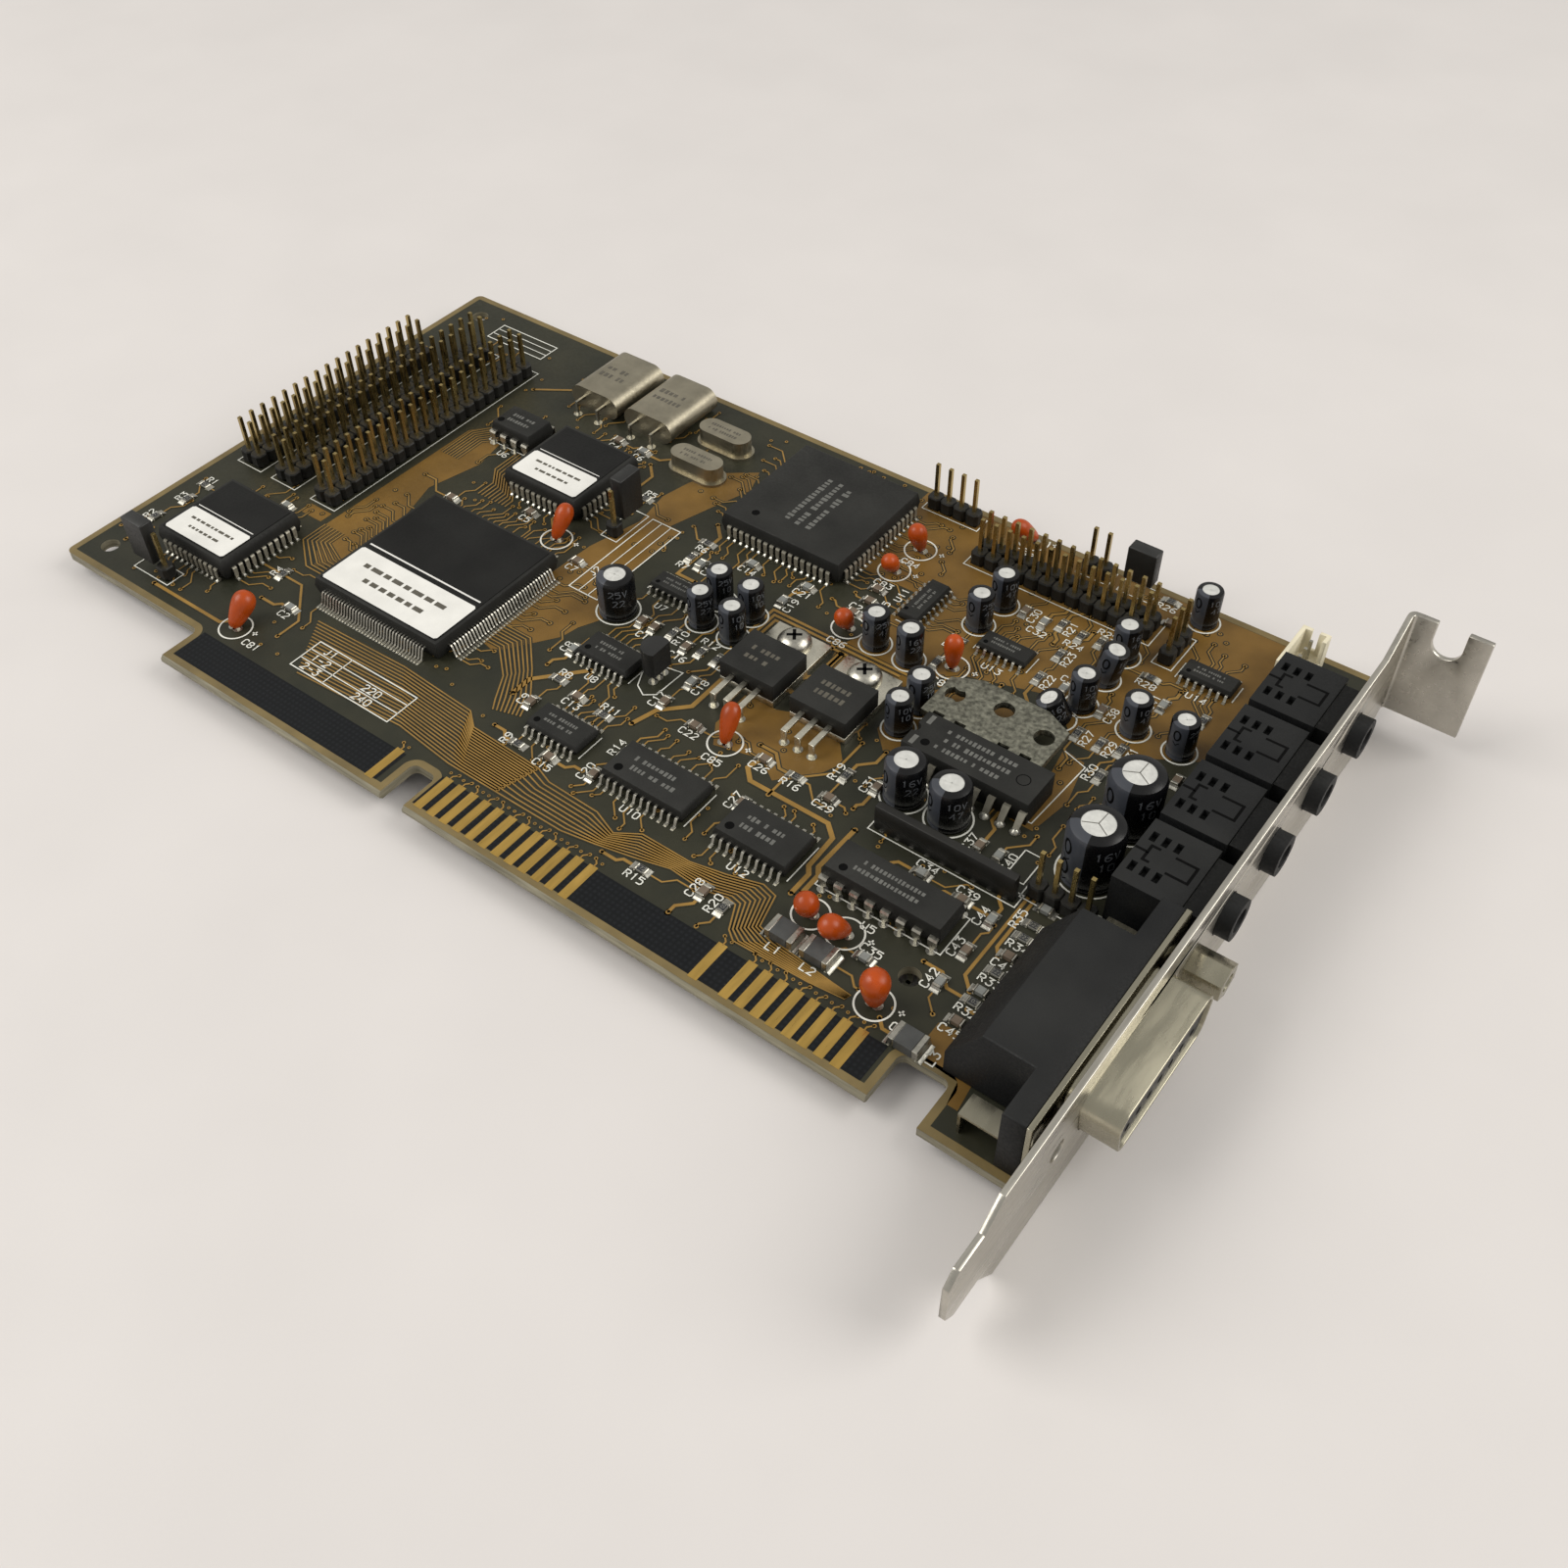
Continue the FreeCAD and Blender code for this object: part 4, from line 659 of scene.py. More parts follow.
gull_wings("controller_lead_set", "controller_leads", 0.15)
gull_wings("small_outline_lead_set", "small_outline_leads", 0.18)
folded_leads()
dip_set()
amplifier_set()
hidden_pins()


# Round parts
rings = []
beads_at = []
CAN_SIDES, SMALL_CAN, LARGE_CAN = 36, 2.8, 4
CAN_LEADS = [(3, 1.0), (4, 1.25), (math.inf, 1.75)]  # half the lead spacing of cans below each radius
# A bead's outline: part of its height, and part of its radius there
BEAD_FORM = [(-0.1, 0.3), (-0.03, 0.5), (0.08, 0.64), (0.2, 0.75), (0.32, 0.84), (0.44, 0.92), (0.54, 0.97),
             (0.64, 1.0), (0.73, 0.98), (0.81, 0.91), (0.88, 0.79), (0.93, 0.65), (0.97, 0.47), (0.99, 0.3),
             (1.0, 0.12)]
# Dipped coats differ: layout column and row of each bead, and its thickness as part of the solid's
BEAD_COATS = [((-201, 16), 0.92), ((-159, 90), 0.76), ((-76, 57), 0.74), ((-30, 28), 0.84), ((-21, 28), 0.86),
              ((-6, 17), 1.0), ((-76, 107), 0.76), ((-78, 143), 0.78), ((-79, 132), 0.72), ((-47, 110), 0.76),
              ((-56, 164), 0.74)]


def wrapped(piece, sheet, placing, radius, angle, height):
    """A flat drawing bent round an upright can: its x runs round the can, its y up."""
    points = []
    for x, y, lift in sheet.points:
        turn = angle + x / radius
        reach = radius + 0.02 + lift
        points.append(placing @ Vector((reach * math.cos(turn), reach * math.sin(turn), height + y)))
    for face, kind in zip(sheet.faces, sheet.kinds):
        piece.face([points[index] for index in face], kind)


def sleeve_kind(band, side):
    """Stripe over eight of a can's sides, between its foot and its top edge."""
    return "stripe" if (side < 4 or side >= CAN_SIDES - 4) and 0 < band < 8 else "sleeve"


def electrolytics():
    """Sleeved cans with a rolled top edge, a marked stripe, a bare aluminium top and a scored vent whose lines are
    painted darker as shade on the large cans.
    """
    piece = Piece("electrolytic_cans", "sleeve", "stripe", "foil", "scored_vent_shade", "recess_shade_and_print", "print")
    for points in solids_of("capacitor_sleeves"):
        placing, height, radius = can_of(points)
        small, large = radius < SMALL_CAN, radius > LARGE_CAN
        heading = rng.uniform(-118, -94) if small else rng.uniform(-134, -120)
        placing = placing @ Matrix.Rotation(math.radians(heading), 4, "Z")
        roll = (0.2 if small else 0.3) * radius
        inner = (0.63 if small else 0.58) * radius
        shoulder = height - roll
        profile = [(radius - 0.2, 0.0), (radius, 0.2), (radius, 0.9), (radius - 0.06, 1.05), (radius, 1.2),
                   (radius, shoulder), (radius - 0.3 * roll, height - 0.35 * roll),
                   (radius - roll, height - 0.06), (inner, height), (inner - 0.03, height - 0.12)]
        piece.turned(profile, CAN_SIDES, placing, kinds=sleeve_kind)
        lid = circle(0, 0, inner - 0.03, CAN_SIDES)
        piece.face([placing @ Vector((x, y, height - 0.1)) for x, y in lid], "foil")
        reach = inner * (0.94 if large else 0.6)
        # large cans' vent lines in grey as painted shade; the small cans' arms stay foil
        for angle in (90, 210, 330) if large else (45, 135, 225, 315):
            arm = placing @ Matrix.Rotation(math.radians(angle), 4, "Z")
            piece.face([arm @ Vector((x, y, height - 0.08)) for x, y in rectangle(0, -0.07, reach, 0.07)],
                       "scored_vent_shade" if large else "foil")

        minus = Piece("drawing", "recess_shade_and_print")
        half, tall = 0.3 + 0.1 * radius, 0.5 + 0.18 * radius
        oval = [(x * half, y * tall) for x, y in circle(0, 0, 1.0, 14)]
        minus.line(oval, 0.16 + 0.05 * radius, 0, closed=True)
        minus.line([(-half, -tall * 1.5), (0, -tall * 2.1), (half, -tall * 1.5)], 0.16, 0)
        for drop in (1, 4.2) if large else (1,):
            wrapped(piece, minus, placing, radius, 0.0, shoulder - tall * drop - 0.5)
        values = Piece("drawing", "print")
        size = 0.5 + 0.2 * radius
        lettering(values, f"{rng.choice((10, 16, 25))}V", 0, 0, size, 0, 0)
        lettering(values, rng.choice(("10", "22", "47")), 0, -0.9 - 0.3 * radius, size, 0, 0)
        wrapped(piece, values, placing, radius, math.radians(85), shoulder - 0.7 - 0.12 * radius)

        base = placing.translation
        rings.append((base.x, base.y, radius + 0.5))
        spread = next(half for limit, half in CAN_LEADS if radius < limit)
        through.extend([(base.x, base.y - spread), (base.x, base.y + spread)])
    piece.make("sleeve_film", ["capacitor_sleeves"])


def beads():
    """Dipped drops, pinched where the coating runs down onto the leads."""
    piece = Piece("dipped_beads", "orange")
    for points in solids_of("bead_capacitors"):
        placing, height, radius = axis_of(points)
        base = placing.translation
        coat = min(BEAD_COATS, key=lambda bead: math.dist(at(*bead[0]), base[:2]))[1]
        piece.turned([(radius * coat * share, height * level) for level, share in BEAD_FORM], 28, placing)
        beads_at.append((base.x, base.y))
    piece.make("orange_dip", ["bead_capacitors"])
    through.extend(foot_of(points, TOP) for points in solids_of("bead_leads"))


electrolytics()
beads()


# Surface-mount chips
pads = []
chip_spans = []


def chips(name, node, bodies, slot):
    """Chip bodies with metal ends, solder wedges and pads."""
    piece = Piece(name, *bodies, "tin", "solder", "alumina")
    resistor = node == "chip_resistors"
    level = TOP + PAD
    lift = np.array([0.0, 0.0, 0.1])
    for low, high in spans(node):
        axis = long_axis(low, high)
        kind = bodies[0] if rng.random() < 0.6 else bodies[-1]
        end = 0.19 * (high[axis] - low[axis])
        inset = np.array([0.03, 0.03, 0.03])
        inset[axis] = end
        piece.block(low + inset + lift, high - inset, 0.06, "alumina" if resistor else kind)
        if resistor:
            trim = np.array([0.09, 0.09, 0.0])
            (x0, y0, _), (x1, y1, z1) = low + inset + trim, high - inset - trim
            piece.flat(rectangle(x0, y0, x1, y1), z1 + 0.03, kind)
            code = rng.choice(("102", "222", "103", "472"))
            lettering(piece, code, (x0 + x1) / 2, (y0 + y1) / 2, 0.5, axis, z1 + 0.045, "alumina")
        left, right = low[1 - axis], high[1 - axis]
        for way in (-1, 1):
            first, last = low.copy(), high.copy()
            if way < 0:
                last[axis] = low[axis] + end
            else:
                first[axis] = high[axis] - end
            piece.block(first + lift, last, 0.1, "tin")
            face = high[axis] if way > 0 else low[axis]

            def across(reach, wider, height):
                """Places on both sides of the chip, at a reach beyond its end."""
                return [placed(axis, face + way * reach, side, height) for side in (left - wider, right + wider)]

            wedge = [*across(-0.02, 0.0, TOP + 0.65 * (high[2] - TOP)), *across(0.2, 0.02, TOP + 0.25),
                     *across(0.55, 0.05, level)]
            piece.add(wedge, [(0, 1, 3, 2), (2, 3, 5, 4)], "solder")
            (a, b), (c, d) = across(-0.3, 0.1, level), across(0.7, 0.1, level)
            piece.face([a, c, d, b], "solder")
            pads.append((*placed(axis, face + way * 0.6, (left + right) / 2)[:2], axis, way))
        chip_spans.append((low, high, axis, LETTERS[node]))
    piece.make(slot, [node])


chips("resistor_chips", "chip_resistors", ["glass", "glass"], "black_ceramic")
chips("capacitor_chips", "chip_capacitors", ["tan", "grey"], "tan_ceramic")
chips("ferrite_beads", "ferrite_chips", ["ferrite", "ferrite"], "black_ceramic")


# Headers and screws

def header_cells():
    """Header bases as rows of eight-sided cells, one round each pin, over a near-black block of painted shade."""
    piece = Piece("header_cells", "header", "recess_shade_and_print")
    for low, high in spans(*HEADER_PINS):
        x, y = (low + high)[:2] / 2
        base = low[2]
        through.append((x, y))

        def square(half):
            return x - half, y - half, x + half, y + half

        piece.stack([octagon(*square(1.25), 0.55, TOP + 0.25), octagon(*square(1.25), 0.55, base - 0.25),
                     octagon(*square(1.1), 0.5, base)])
        # near-black block under each cell: painted shade between the header and the board
        x0, y0, x1, y1 = square(1.05)
        piece.block((x0, y0, TOP + PAD), (x1, y1, TOP + 0.3), kind="recess_shade_and_print")
    piece.make("black_plastic", HEADER_BASES)


def tab_screws():
    """Round-head cross-recess screws that hold the regulators down, the recess drawn in near-black lines as painted
    shade.
    """
    piece = Piece("regulator_screw_heads", "tin", "recess_shade_and_print")
    for low, high in spans("regulator_screws"):
        x, y = (low + high)[:2] / 2
        radius, height = (high[0] - low[0]) / 2, high[2] - low[2]
        profile = [(radius, 0.0), (radius, 0.25 * height)]
        for step in range(1, 5):
            angle = math.radians(step * 11)
            profile.append((radius * math.cos(angle) ** 1.3, height * (0.25 + 0.75 * math.sin(angle) / 0.82)))
        profile.append((radius * 0.5, height))
        piece.turned(profile, 32, Matrix.Translation((x, y, low[2])))
        middle = Vector((x, y))
        # cross recess as near-black lines: painted shade
        for angle in (math.radians(35), math.radians(125)):
            arm = Vector((math.cos(angle), math.sin(angle))) * radius * 0.44
            piece.line([middle - arm, middle + arm], radius * 0.2, high[2] + FILM, "recess_shade_and_print")
    piece.make("port_steel", ["regulator_screws"])


header_cells()
tab_screws()


# Board graphics

class Cells:
    """Map of a board face in small square cells, which keeps what is drawn there apart."""
    per_mm = 4
    stride = 0.15  # millimetres between the places looked at along a path
    corner = (104, 46)  # millimetres from the first cell to the frame's origin
    shape = (760, 460)

    def __init__(self, *zones):
        self.taken = np.zeros(self.shape, bool)
        for zone in zones:
            self.area(*zone)[:] = True

    def spots(self, path):
        """Cells along a path."""
        points = []
        for (x0, y0), (x1, y1) in zip(path, path[1:]):
            steps = max(1, int(math.hypot(x1 - x0, y1 - y0) / self.stride))
            points += [(x0 + (x1 - x0) * i / steps, y0 + (y1 - y0) * i / steps) for i in range(steps + 1)]
        cells = ((np.array(points) + self.corner) * self.per_mm).astype(int)
        return tuple(np.clip(cells[:, k], 1, self.shape[k] - 2) for k in (0, 1))

    def free(self, path):
        return not self.taken[self.spots(path)].any()

    def take(self, path, margin=1):
        columns, rows = self.spots(path)
        width, depth = self.shape
        for i in range(-margin, margin + 1):
            for j in range(-margin, margin + 1):
                self.taken[np.clip(columns + i, 0, width - 1), np.clip(rows + j, 0, depth - 1)] = True

    def area(self, x0, y0, x1, y1):
        """The cells of a rectangle."""
        columns, rows = (slice(max(0, int((low + start) * self.per_mm)), int((high + start) * self.per_mm) + 1)
                         for low, high, start in zip((x0, y0), (x1, y1), self.corner))
        return self.taken[columns, rows]


class Face:
    """One lacquered face of the board with its copper."""

    def __init__(self, name, level, way):
        self.piece = Piece(name, "copper", "gap", "trace", "recess_shade_and_print", "solder")
        self.level = level
        self.way = way
        self.cells = Cells((-104, -46, 86, -36.4), (-104, 61.6, 86, 68), (-104, -46, -100.8, 68), (71, -46, 86, 68),
                           (-104, -46, -90.5, -34.6))

    def up(self, layer):
        return self.level + self.way * layer

    def pour(self, zone):
        self.piece.flat(grid_path(zone), self.up(POUR), "copper")

    def trace(self, path, width):
        """Copper line with a clear gap on both sides."""
        self.piece.line(path, width + 0.4, self.up(GAP), "gap")
        self.piece.line(path, width, self.up(LINE), "trace")
        self.cells.take(path, 1 if width < 0.4 else 2)

    def via(self, x, y, radius):
        self.piece.disc(x, y, self.up(GAP), radius + 0.22, 10, "gap")
        self.piece.disc(x, y, self.up(LINE), radius, 10, "trace")
        # drill hole as a near-black disc: painted shade
        self.piece.disc(x, y, self.up(PAD), radius * 0.45, 8, "recess_shade_and_print")
        self.cells.take([(x - 0.2, y), (x + 0.2, y)])

    def wander(self, x, y, axis, way, width=0.24):
        """Line that leaves a pad, turns by half a right angle and ends in a via, where there is room."""
        along, across = (y, x) if axis else (x, y)
        for _ in range(7):
            first, second, third = rng.uniform(0.5, 2.6), rng.uniform(0.6, 2.4), rng.uniform(0.0, 3.2)
            aside = second * rng.choice((-1, 1))
            steps = [(0.0, 0.0), (first, 0.0), (first + second, aside), (first + second + third, aside)]
            if third < 0.4:
                steps.pop()
            path = [placed(axis, along + way * ahead, across + beside)[:2] for ahead, beside in steps]
            start = placed(axis, along + way * 0.45, across)[:2]
            if self.cells.free([start] + path[1:]):
                self.trace(path, width)
                self.via(*path[-1], 0.36)
                return

    def scattered(self):
        """A place somewhere on the board."""
        return rng.uniform(-99, 68), rng.uniform(-33, 60)

    def roomy(self, x, y):
        return self.cells.free([(x - 0.6, y), (x + 0.6, y)])


# Copper areas, single lines (width first) and bundles of lines, on the layout grid
POURS = [
    [(-214, 56), (-203, 44), (-196, 51), (-197, 66), (-203, 86), (-199, 102), (-201, 112), (-208, 118),
     (-213, 112)],
    [(-147, 49), (-142, 48), (-137, 55), (-132, 62), (-131, 67), (-128, 73), (-134, 79), (-134, 112), (-138, 112),
     (-134, 125), (-130, 137), (-133, 145), (-141, 139), (-146, 130), (-148, 121), (-146, 109), (-150, 93),
     (-151, 78), (-147, 64)],
    [(-82, 74), (-73, 73), (-66, 76), (-57, 76), (-50, 68), (-52, 63), (-60, 54), (-66, 58), (-78, 55), (-82, 61)],
    [(-10, 76), (-4, 76), (-2, 88), (-5, 101), (-11, 102), (-9, 90)],
    [(7, 12), (7, 21), (15, 22), (20, 14), (21, 6), (18.5, 6), (17.5, 11.5)],
    [(-90, 165), (18, 165), (18, 118), (8, 112), (-4, 105), (-10, 105), (-22, 116), (-44, 109), (-52, 100),
     (-56, 84), (-70, 84), (-74, 100), (-70, 112), (-70, 128), (-90, 128)],
    [(-224, 58), (-216, 58), (-216, 62), (-224, 62)],
    [(-44, 76), (-36, 80), (-36, 98), (-24, 101), (-24, 110), (-42, 106), (-50, 96), (-50, 82)],
]
ANALOGUE_POUR = POURS[5]  # the one that both faces have
LINES = [
    (0.75, (-66, 58), (-67, 54), (-64, 51), (-42, 51), (-38.6, 48), (-38.2, 38.5), (-36.8, 36.6), (-36.8, 30)),
    (0.75, (-36, 53), (-36.3, 39.5), (-34.9, 37.5), (-34.9, 31.5)),
    (0.6, (-232, 15), (-206, 15), (-203, 18)),
    (0.4, (-215, 37), (-200, 37), (-190, 27), (-190, 20)),
    (0.8, (-118, 57), (-128, 46), (-128, 40)),
    (0.8, (-98, 49), (-96, 56), (-90, 62), (-90, 74), (-84, 80), (-60, 80)),
    (0.8, (-90, 82), (-86, 84), (-76, 84), (-72, 88), (-72, 98)),
    (0.8, (-92, 85), (-88, 87), (-78, 87), (-75, 90), (-75, 100)),
    (0.5, (5, 62), (5, 34), (8, 31)),
    (0.5, (6.5, 62), (6.5, 44), (8, 42)),
    (0.6, (16, 32), (14, 27), (10, 27)),
    (0.5, (-160, 130), (-156, 126), (-156, 116), (-150, 110)),
    (0.5, (-212, 138), (-200, 146), (-196, 150), (-180, 150)),
    (0.6, (-128, 120), (-124, 116), (-124, 98), (-118, 98)),
    (0.5, (-246, 30), (-246, 52), (-242, 56)),
    (0.4, (-58, 50), (-58, 56), (-50, 64), (-50, 76)),
    (0.5, (-54, 92), (-40, 92), (-34, 98), (-34, 112)),
    (0.7, (-71.5, 98), (-71.5, 91.8)),
]
EDGE_BUNDLE = [
    ((-176, 14), (-186, 30)), ((-142, 16), (-156, 31)), ((-124, 14), (-132, 29.5)), ((-120, 14), (-127.5, 26)),
    ((-109, 14), (-106, 25.2)), ((-104, 14), (-101, 23.4)), ((-89, 14), (-86, 23)), ((-80, 15.6), (-79, 20.4)),
    ((-71, 17.6), (-73.5, 24)), ((-62, 20), (-60, 24)), ((-53, 19.4), (-51, 26)), ((-47, 21), (-43, 28.5)),
    ((-44.5, 20.5), (-39, 27.5)), ((-41.5, 14.4), (-36.8, 19)), ((-39, 12.6), (-31, 17.6)),
    ((-20, 13.4), (-18, 16.4)), ((-11.5, 14.4), (-11, 15.8)),
]
# Lines in a bundle, their width, and the bundle's two edges at each of its stations
BUNDLES = [
    (17, THIN, EDGE_BUNDLE[:5]),
    (9, THIN, EDGE_BUNDLE[4:]),
    (7, THIN, [((-214, 58), (-207, 58)), ((-214, 50), (-207, 53)), ((-205, 43), (-200, 50)),
               ((-198, 43), (-198, 50))]),
    (8, THIN, [((-146, 50), (-146, 57)), ((-142, 50), (-138, 57)), ((-134, 43), (-130, 49)),
               ((-130, 36), (-124, 42)), ((-128, 33), (-121, 35))]),
    (9, THIN, [((-190, 92), (-180, 92)), ((-190, 98), (-180, 95)), ((-194, 103), (-184, 100)),
               ((-194, 112), (-186, 112))]),
    (7, THIN, [((-212, 100), (-206, 100)), ((-212, 112), (-206, 110)), ((-206, 120), (-202, 114))]),
    (3, 0.5, [((-92.4, 91), (-95.2, 91)), ((-92.4, 98.4), (-95.2, 101.4)), ((-57, 98.4), (-54.2, 101.4))]),
]


def strands(count, stations):
    """Paths of a bundle's lines, from one edge to the other."""
    shares = [index / (count - 1) for index in range(count)]
    return [[at(low[0] + (high[0] - low[0]) * share, low[1] + (high[1] - low[1]) * share) for low, high in stations]
            for share in shares]


def printed_front():
    """Copper of the component side."""
    face = Face("front_copper", TOP, 1)
    for zone in POURS:
        face.pour(zone)
    for bundle in BUNDLES:
        count, width, stations = bundle
        for index, path in enumerate(strands(count, stations)):
            face.trace(path, width)
            if bundle is BUNDLES[0] and index % 2:
                face.via(*path[-1], 0.3)
    for width, *places in LINES:
        path = grid_path(places)
        face.trace(path, width)
        for end in (path[0], path[-1]):
            face.via(*end, max(0.4, width * 0.55))
    for low, high in spans("edge_contacts"):
        if high[2] > TOP:
            x, y = (low[0] + high[0]) / 2, high[1]
            lean = rng.choice((-0.7, 0.7))
            path = [(x, y - 0.2), (x, y + 0.5), (x + lean, y + 1.2)]
            face.piece.line(path, 0.24, face.up(LINE), "trace")
            face.via(*path[-1], 0.3)
            face.via(x - lean, y + 0.9, 0.26)
    for place, axis, way in feet:
        if rng.random() < 0.75:
            face.wander(*place[:2], axis, way, THIN)
    for x, y, axis, way in pads:
        face.wander(x, y, axis, way, rng.choice((0.24, 0.3, 0.5)))
    for x, y in through:
        face.piece.disc(x, y, face.up(PAD), 0.8, 14, "solder")
    for _ in range(FRONT_TRIES):
        x, y = face.scattered()
        axis, way = rng.randrange(2), rng.choice((-1, 1))
        if face.roomy(x, y):
            face.via(x, y, VIA)
            face.wander(x, y, axis, way)
    face.piece.make("solder_mask")


def printed_back():
    """Copper and solder joints of the solder side, which the photograph doesn't show."""
    face = Face("back_copper", UNDER, -1)
    face.pour(ANALOGUE_POUR)
    for x, y in through:
        face.cells.take([(x - 0.5, y), (x + 0.5, y)], 2)
    for count, width, stations in BUNDLES[:2]:
        for path in strands(count, stations)[::2]:
            if face.cells.free(path):
                face.trace(path, width)
    for x, y in through:
        for axis, way in rng.sample([(0, 1), (0, -1), (1, 1), (1, -1)], 2):
            face.wander(x + (0.8 * way if axis == 0 else 0), y + (0.8 * way if axis else 0), axis, way, 0.3)
    for _ in range(BACK_TRIES):
        x, y = face.scattered()
        if face.roomy(x, y):
            face.via(x, y, VIA)
            face.wander(x, y, rng.randrange(2), rng.choice((-1, 1)))
    face.piece.make("solder_mask")
    joints = Piece("solder_joints", "solder")
    for x, y in through:
        placing = Matrix.Translation((x, y, UNDER)) @ Matrix.Rotation(math.pi, 4, "X")
        joints.turned([(0.95, 0.0), (0.9, 0.12), (0.55, 0.45), (0.36, 0.9), (0.3, 1.3), (0.16, 1.42)], 14, placing)
    joints.make("tinned_lead")


# Legend: nodes whose places stay free of designators, outlined nodes with the outline's margin, framed tables by
# two corners and their inner lines, words on the grid, and other outlines
KEEP_CLEAR = [*CHIP_BODIES, *HEADER_BASES, *JACKS, *CARRIER_LEADS, *LETTERS, "controller_leads",
              "small_outline_leads", "dip_leads", "regulator_bodies", "regulator_frames", "amplifier_body",
              "amplifier_fin", "resistor_network", "transistor_body", "crystal_cans", "capacitor_sleeves",
              "bead_capacitors", "wafer_connector", "game_port_housing"]
FRAMED = [(0.5, DRIVE_BASES), (0.6, ["feature_header_base"]), (0.45, ["small_header_bases"]),
          (0.6, ["resistor_network"]), (0.5, DIPS)]
TABLES = [((-179.5, 15), (-145.4, 25), [-168], [18.4, 21.8]),
          ((-143.6, 77.7), (-134, 111.5), [-140.4, -137.2], []),
          ((-243, 151), (-221, 158.5), [], [153.5, 156])]
WORDS = [("J1", -174, 23.4, 1.3, 0), ("1-2", -174, 20.1, 1.3, 0), ("2-3", -174, 16.7, 1.3, 0),
         ("220", -156, 20.1, 1.3, 0), ("240", -156, 16.7, 1.3, 0),
         ("J2", -142, 86, TEXT, 1), ("1-2", -138.8, 86, TEXT, 1), ("2-3", -135.6, 86, TEXT, 1)]
OUTLINES = [[(-10.5, 101.6), (-4.1, 99.7), (-5.3, 77.7), (-7.9, 77.6)],
            [(-2.3, 70.3), (2.3, 70.3), (2.3, 61.6), (-2.3, 61.6), (-2.3, 70.3)],
            [(-105.2, 59.8), (-108.2, 66), (-108, 68), (-99, 69.6), (-99.4, 60), (-102, 58), (-105.2, 59.8)]]


def bead_rings(piece, level, cells):
    """Ring, plus sign and designator of each bead; a ring that would pass the board's edge is left open there."""
    count, radius, rear, near_rear, front = 40, 2.7, 62.8, 62, -31
    for number, (x, y) in enumerate(beads_at, 81):
        inside = [point for point in circle(x, y, radius, count) if point[1] < rear]
        cut = len(inside) < count
        first = next((i for i, point in enumerate(inside) if cut and point[1] > near_rear and point[0] < x), 0)
        piece.line(inside[first:] + inside[:first], 0.28, level, closed=not cut)
        lettering(piece, "+", x + 3.7, y + 0.8, 1.5, 0, level)
        name_x, name_y = (x + 0.5, y - 3.9) if y > front else (x + 5.2, y - 1.4)
        lettering(piece, f"C{number}", name_x, name_y, TEXT, 0, level)
        cells.area(name_x - 2.8, name_y - 1.0, name_x + 2.8, name_y + 1.0)[:] = True


def designators(piece, level, cells):
    """Letter and number beside each chip, on the first of its sides with room."""
    counters = dict.fromkeys("RCLU", 0)
    large = [(low, high, long_axis(low, high), "U") for low, high in spans(*CHIP_BODIES)]
    for low, high, axis, letter in chip_spans + large:
        counters[letter] += 1
        words = f"{letter}{counters[letter]}"
        length = len(words) * TEXT
        gap = 2.4 if letter == "U" else 1.0
        for turn, ahead in ((axis, -1), (axis, 1), (1 - axis, -1), (1 - axis, 1)):
            place = list((low + high)[:2] / 2)
            beside = 1 - turn
            place[beside] += ahead * ((high - low)[beside] / 2 + (gap if turn == axis else gap + 0.4))
            x, y = place
            half_x, half_y = placed(turn, length / 2, TEXT / 2)[:2]
            zone = cells.area(x - half_x, y - half_y, x + half_x, y + half_y)
            if not zone.any():
                zone[:] = True
                lettering(piece, words, x, y, TEXT, turn, level)
                break


def legend():
    """White legend: rings, outlines, framed tables and designators of the builder's own numbering."""
    piece = Piece("legend", "ink")
    level = TOP + INK
    cells = Cells((-104, -46, 86, -36.5), (-104, 62, 86, 68), (-104, -46, -101.5, 68), (72, -46, 86, 68))
    for low, high in spans(*KEEP_CLEAR):
        cells.area(low[0] - 0.2, low[1] - 0.2, high[0] + 0.2, high[1] + 0.2)[:] = True
    for x, y, radius in rings:
        piece.line(circle(x, y, radius, 36), 0.28, level, closed=True)
    bead_rings(piece, level, cells)
    for margin, names in FRAMED:
        for (x0, y0, _), (x1, y1, _) in spans(*names):
            piece.line(rectangle(x0 - margin, y0 - margin, x1 + margin, y1 + margin), 0.2, level, closed=True)
    for low, high in spans("small_outline_bodies"):
        axis = long_axis(low, high)
        for end in (low[axis] - 0.35, high[axis] + 0.35):
            piece.line([placed(axis, end, side[1 - axis])[:2] for side in (low, high)], 0.2, level)
    for low, high, columns, rows in TABLES:
        (x0, y0), (x1, y1) = at(*low), at(*high)
        piece.line(rectangle(x0, y0, x1, y1), 0.22, level, closed=True)
        cells.area(x0, y0, x1, y1)[:] = True
        for x in (at(column, 0)[0] for column in columns):
            piece.line([(x, y0), (x, y1)], 0.18, level)
        for y in (at(0, row)[1] for row in rows):
            piece.line([(x0, y), (x1, y)], 0.18, level)
    for words, column, row, height, turn in WORDS:
        lettering(piece, words, *at(column, row), height, turn, level)
    for path in OUTLINES:
        piece.line(grid_path(path), 0.2, level)
    designators(piece, level, cells)
    piece.make("label_film")


printed_front()
printed_back()
legend()


def board_outline():
    """Corners of the board's upper face, in order."""
    mesh = nodes["circuit_board"].data
    used = {}
    for polygon in mesh.polygons:
        corners = [tuple(np.round(np.array(mesh.vertices[v].co) * 1000, 3)) for v in polygon.vertices]
        if all(abs(corner[2] - TOP) < 0.01 for corner in corners):
            used.update(dict.fromkeys(zip(corners, corners[1:] + corners[:1])))
    border = {a: b for a, b in used if (b, a) not in used}
    loops = []
    while border:
        start, here = border.popitem()
        loops.append([start])
        while here != start and here in border:
            loops[-1].append(here)
            here = border.pop(here)
    return [Vector(corner[:2]) for corner in max(loops, key=lambda loop: np.ptp([p[0] for p in loop]))]


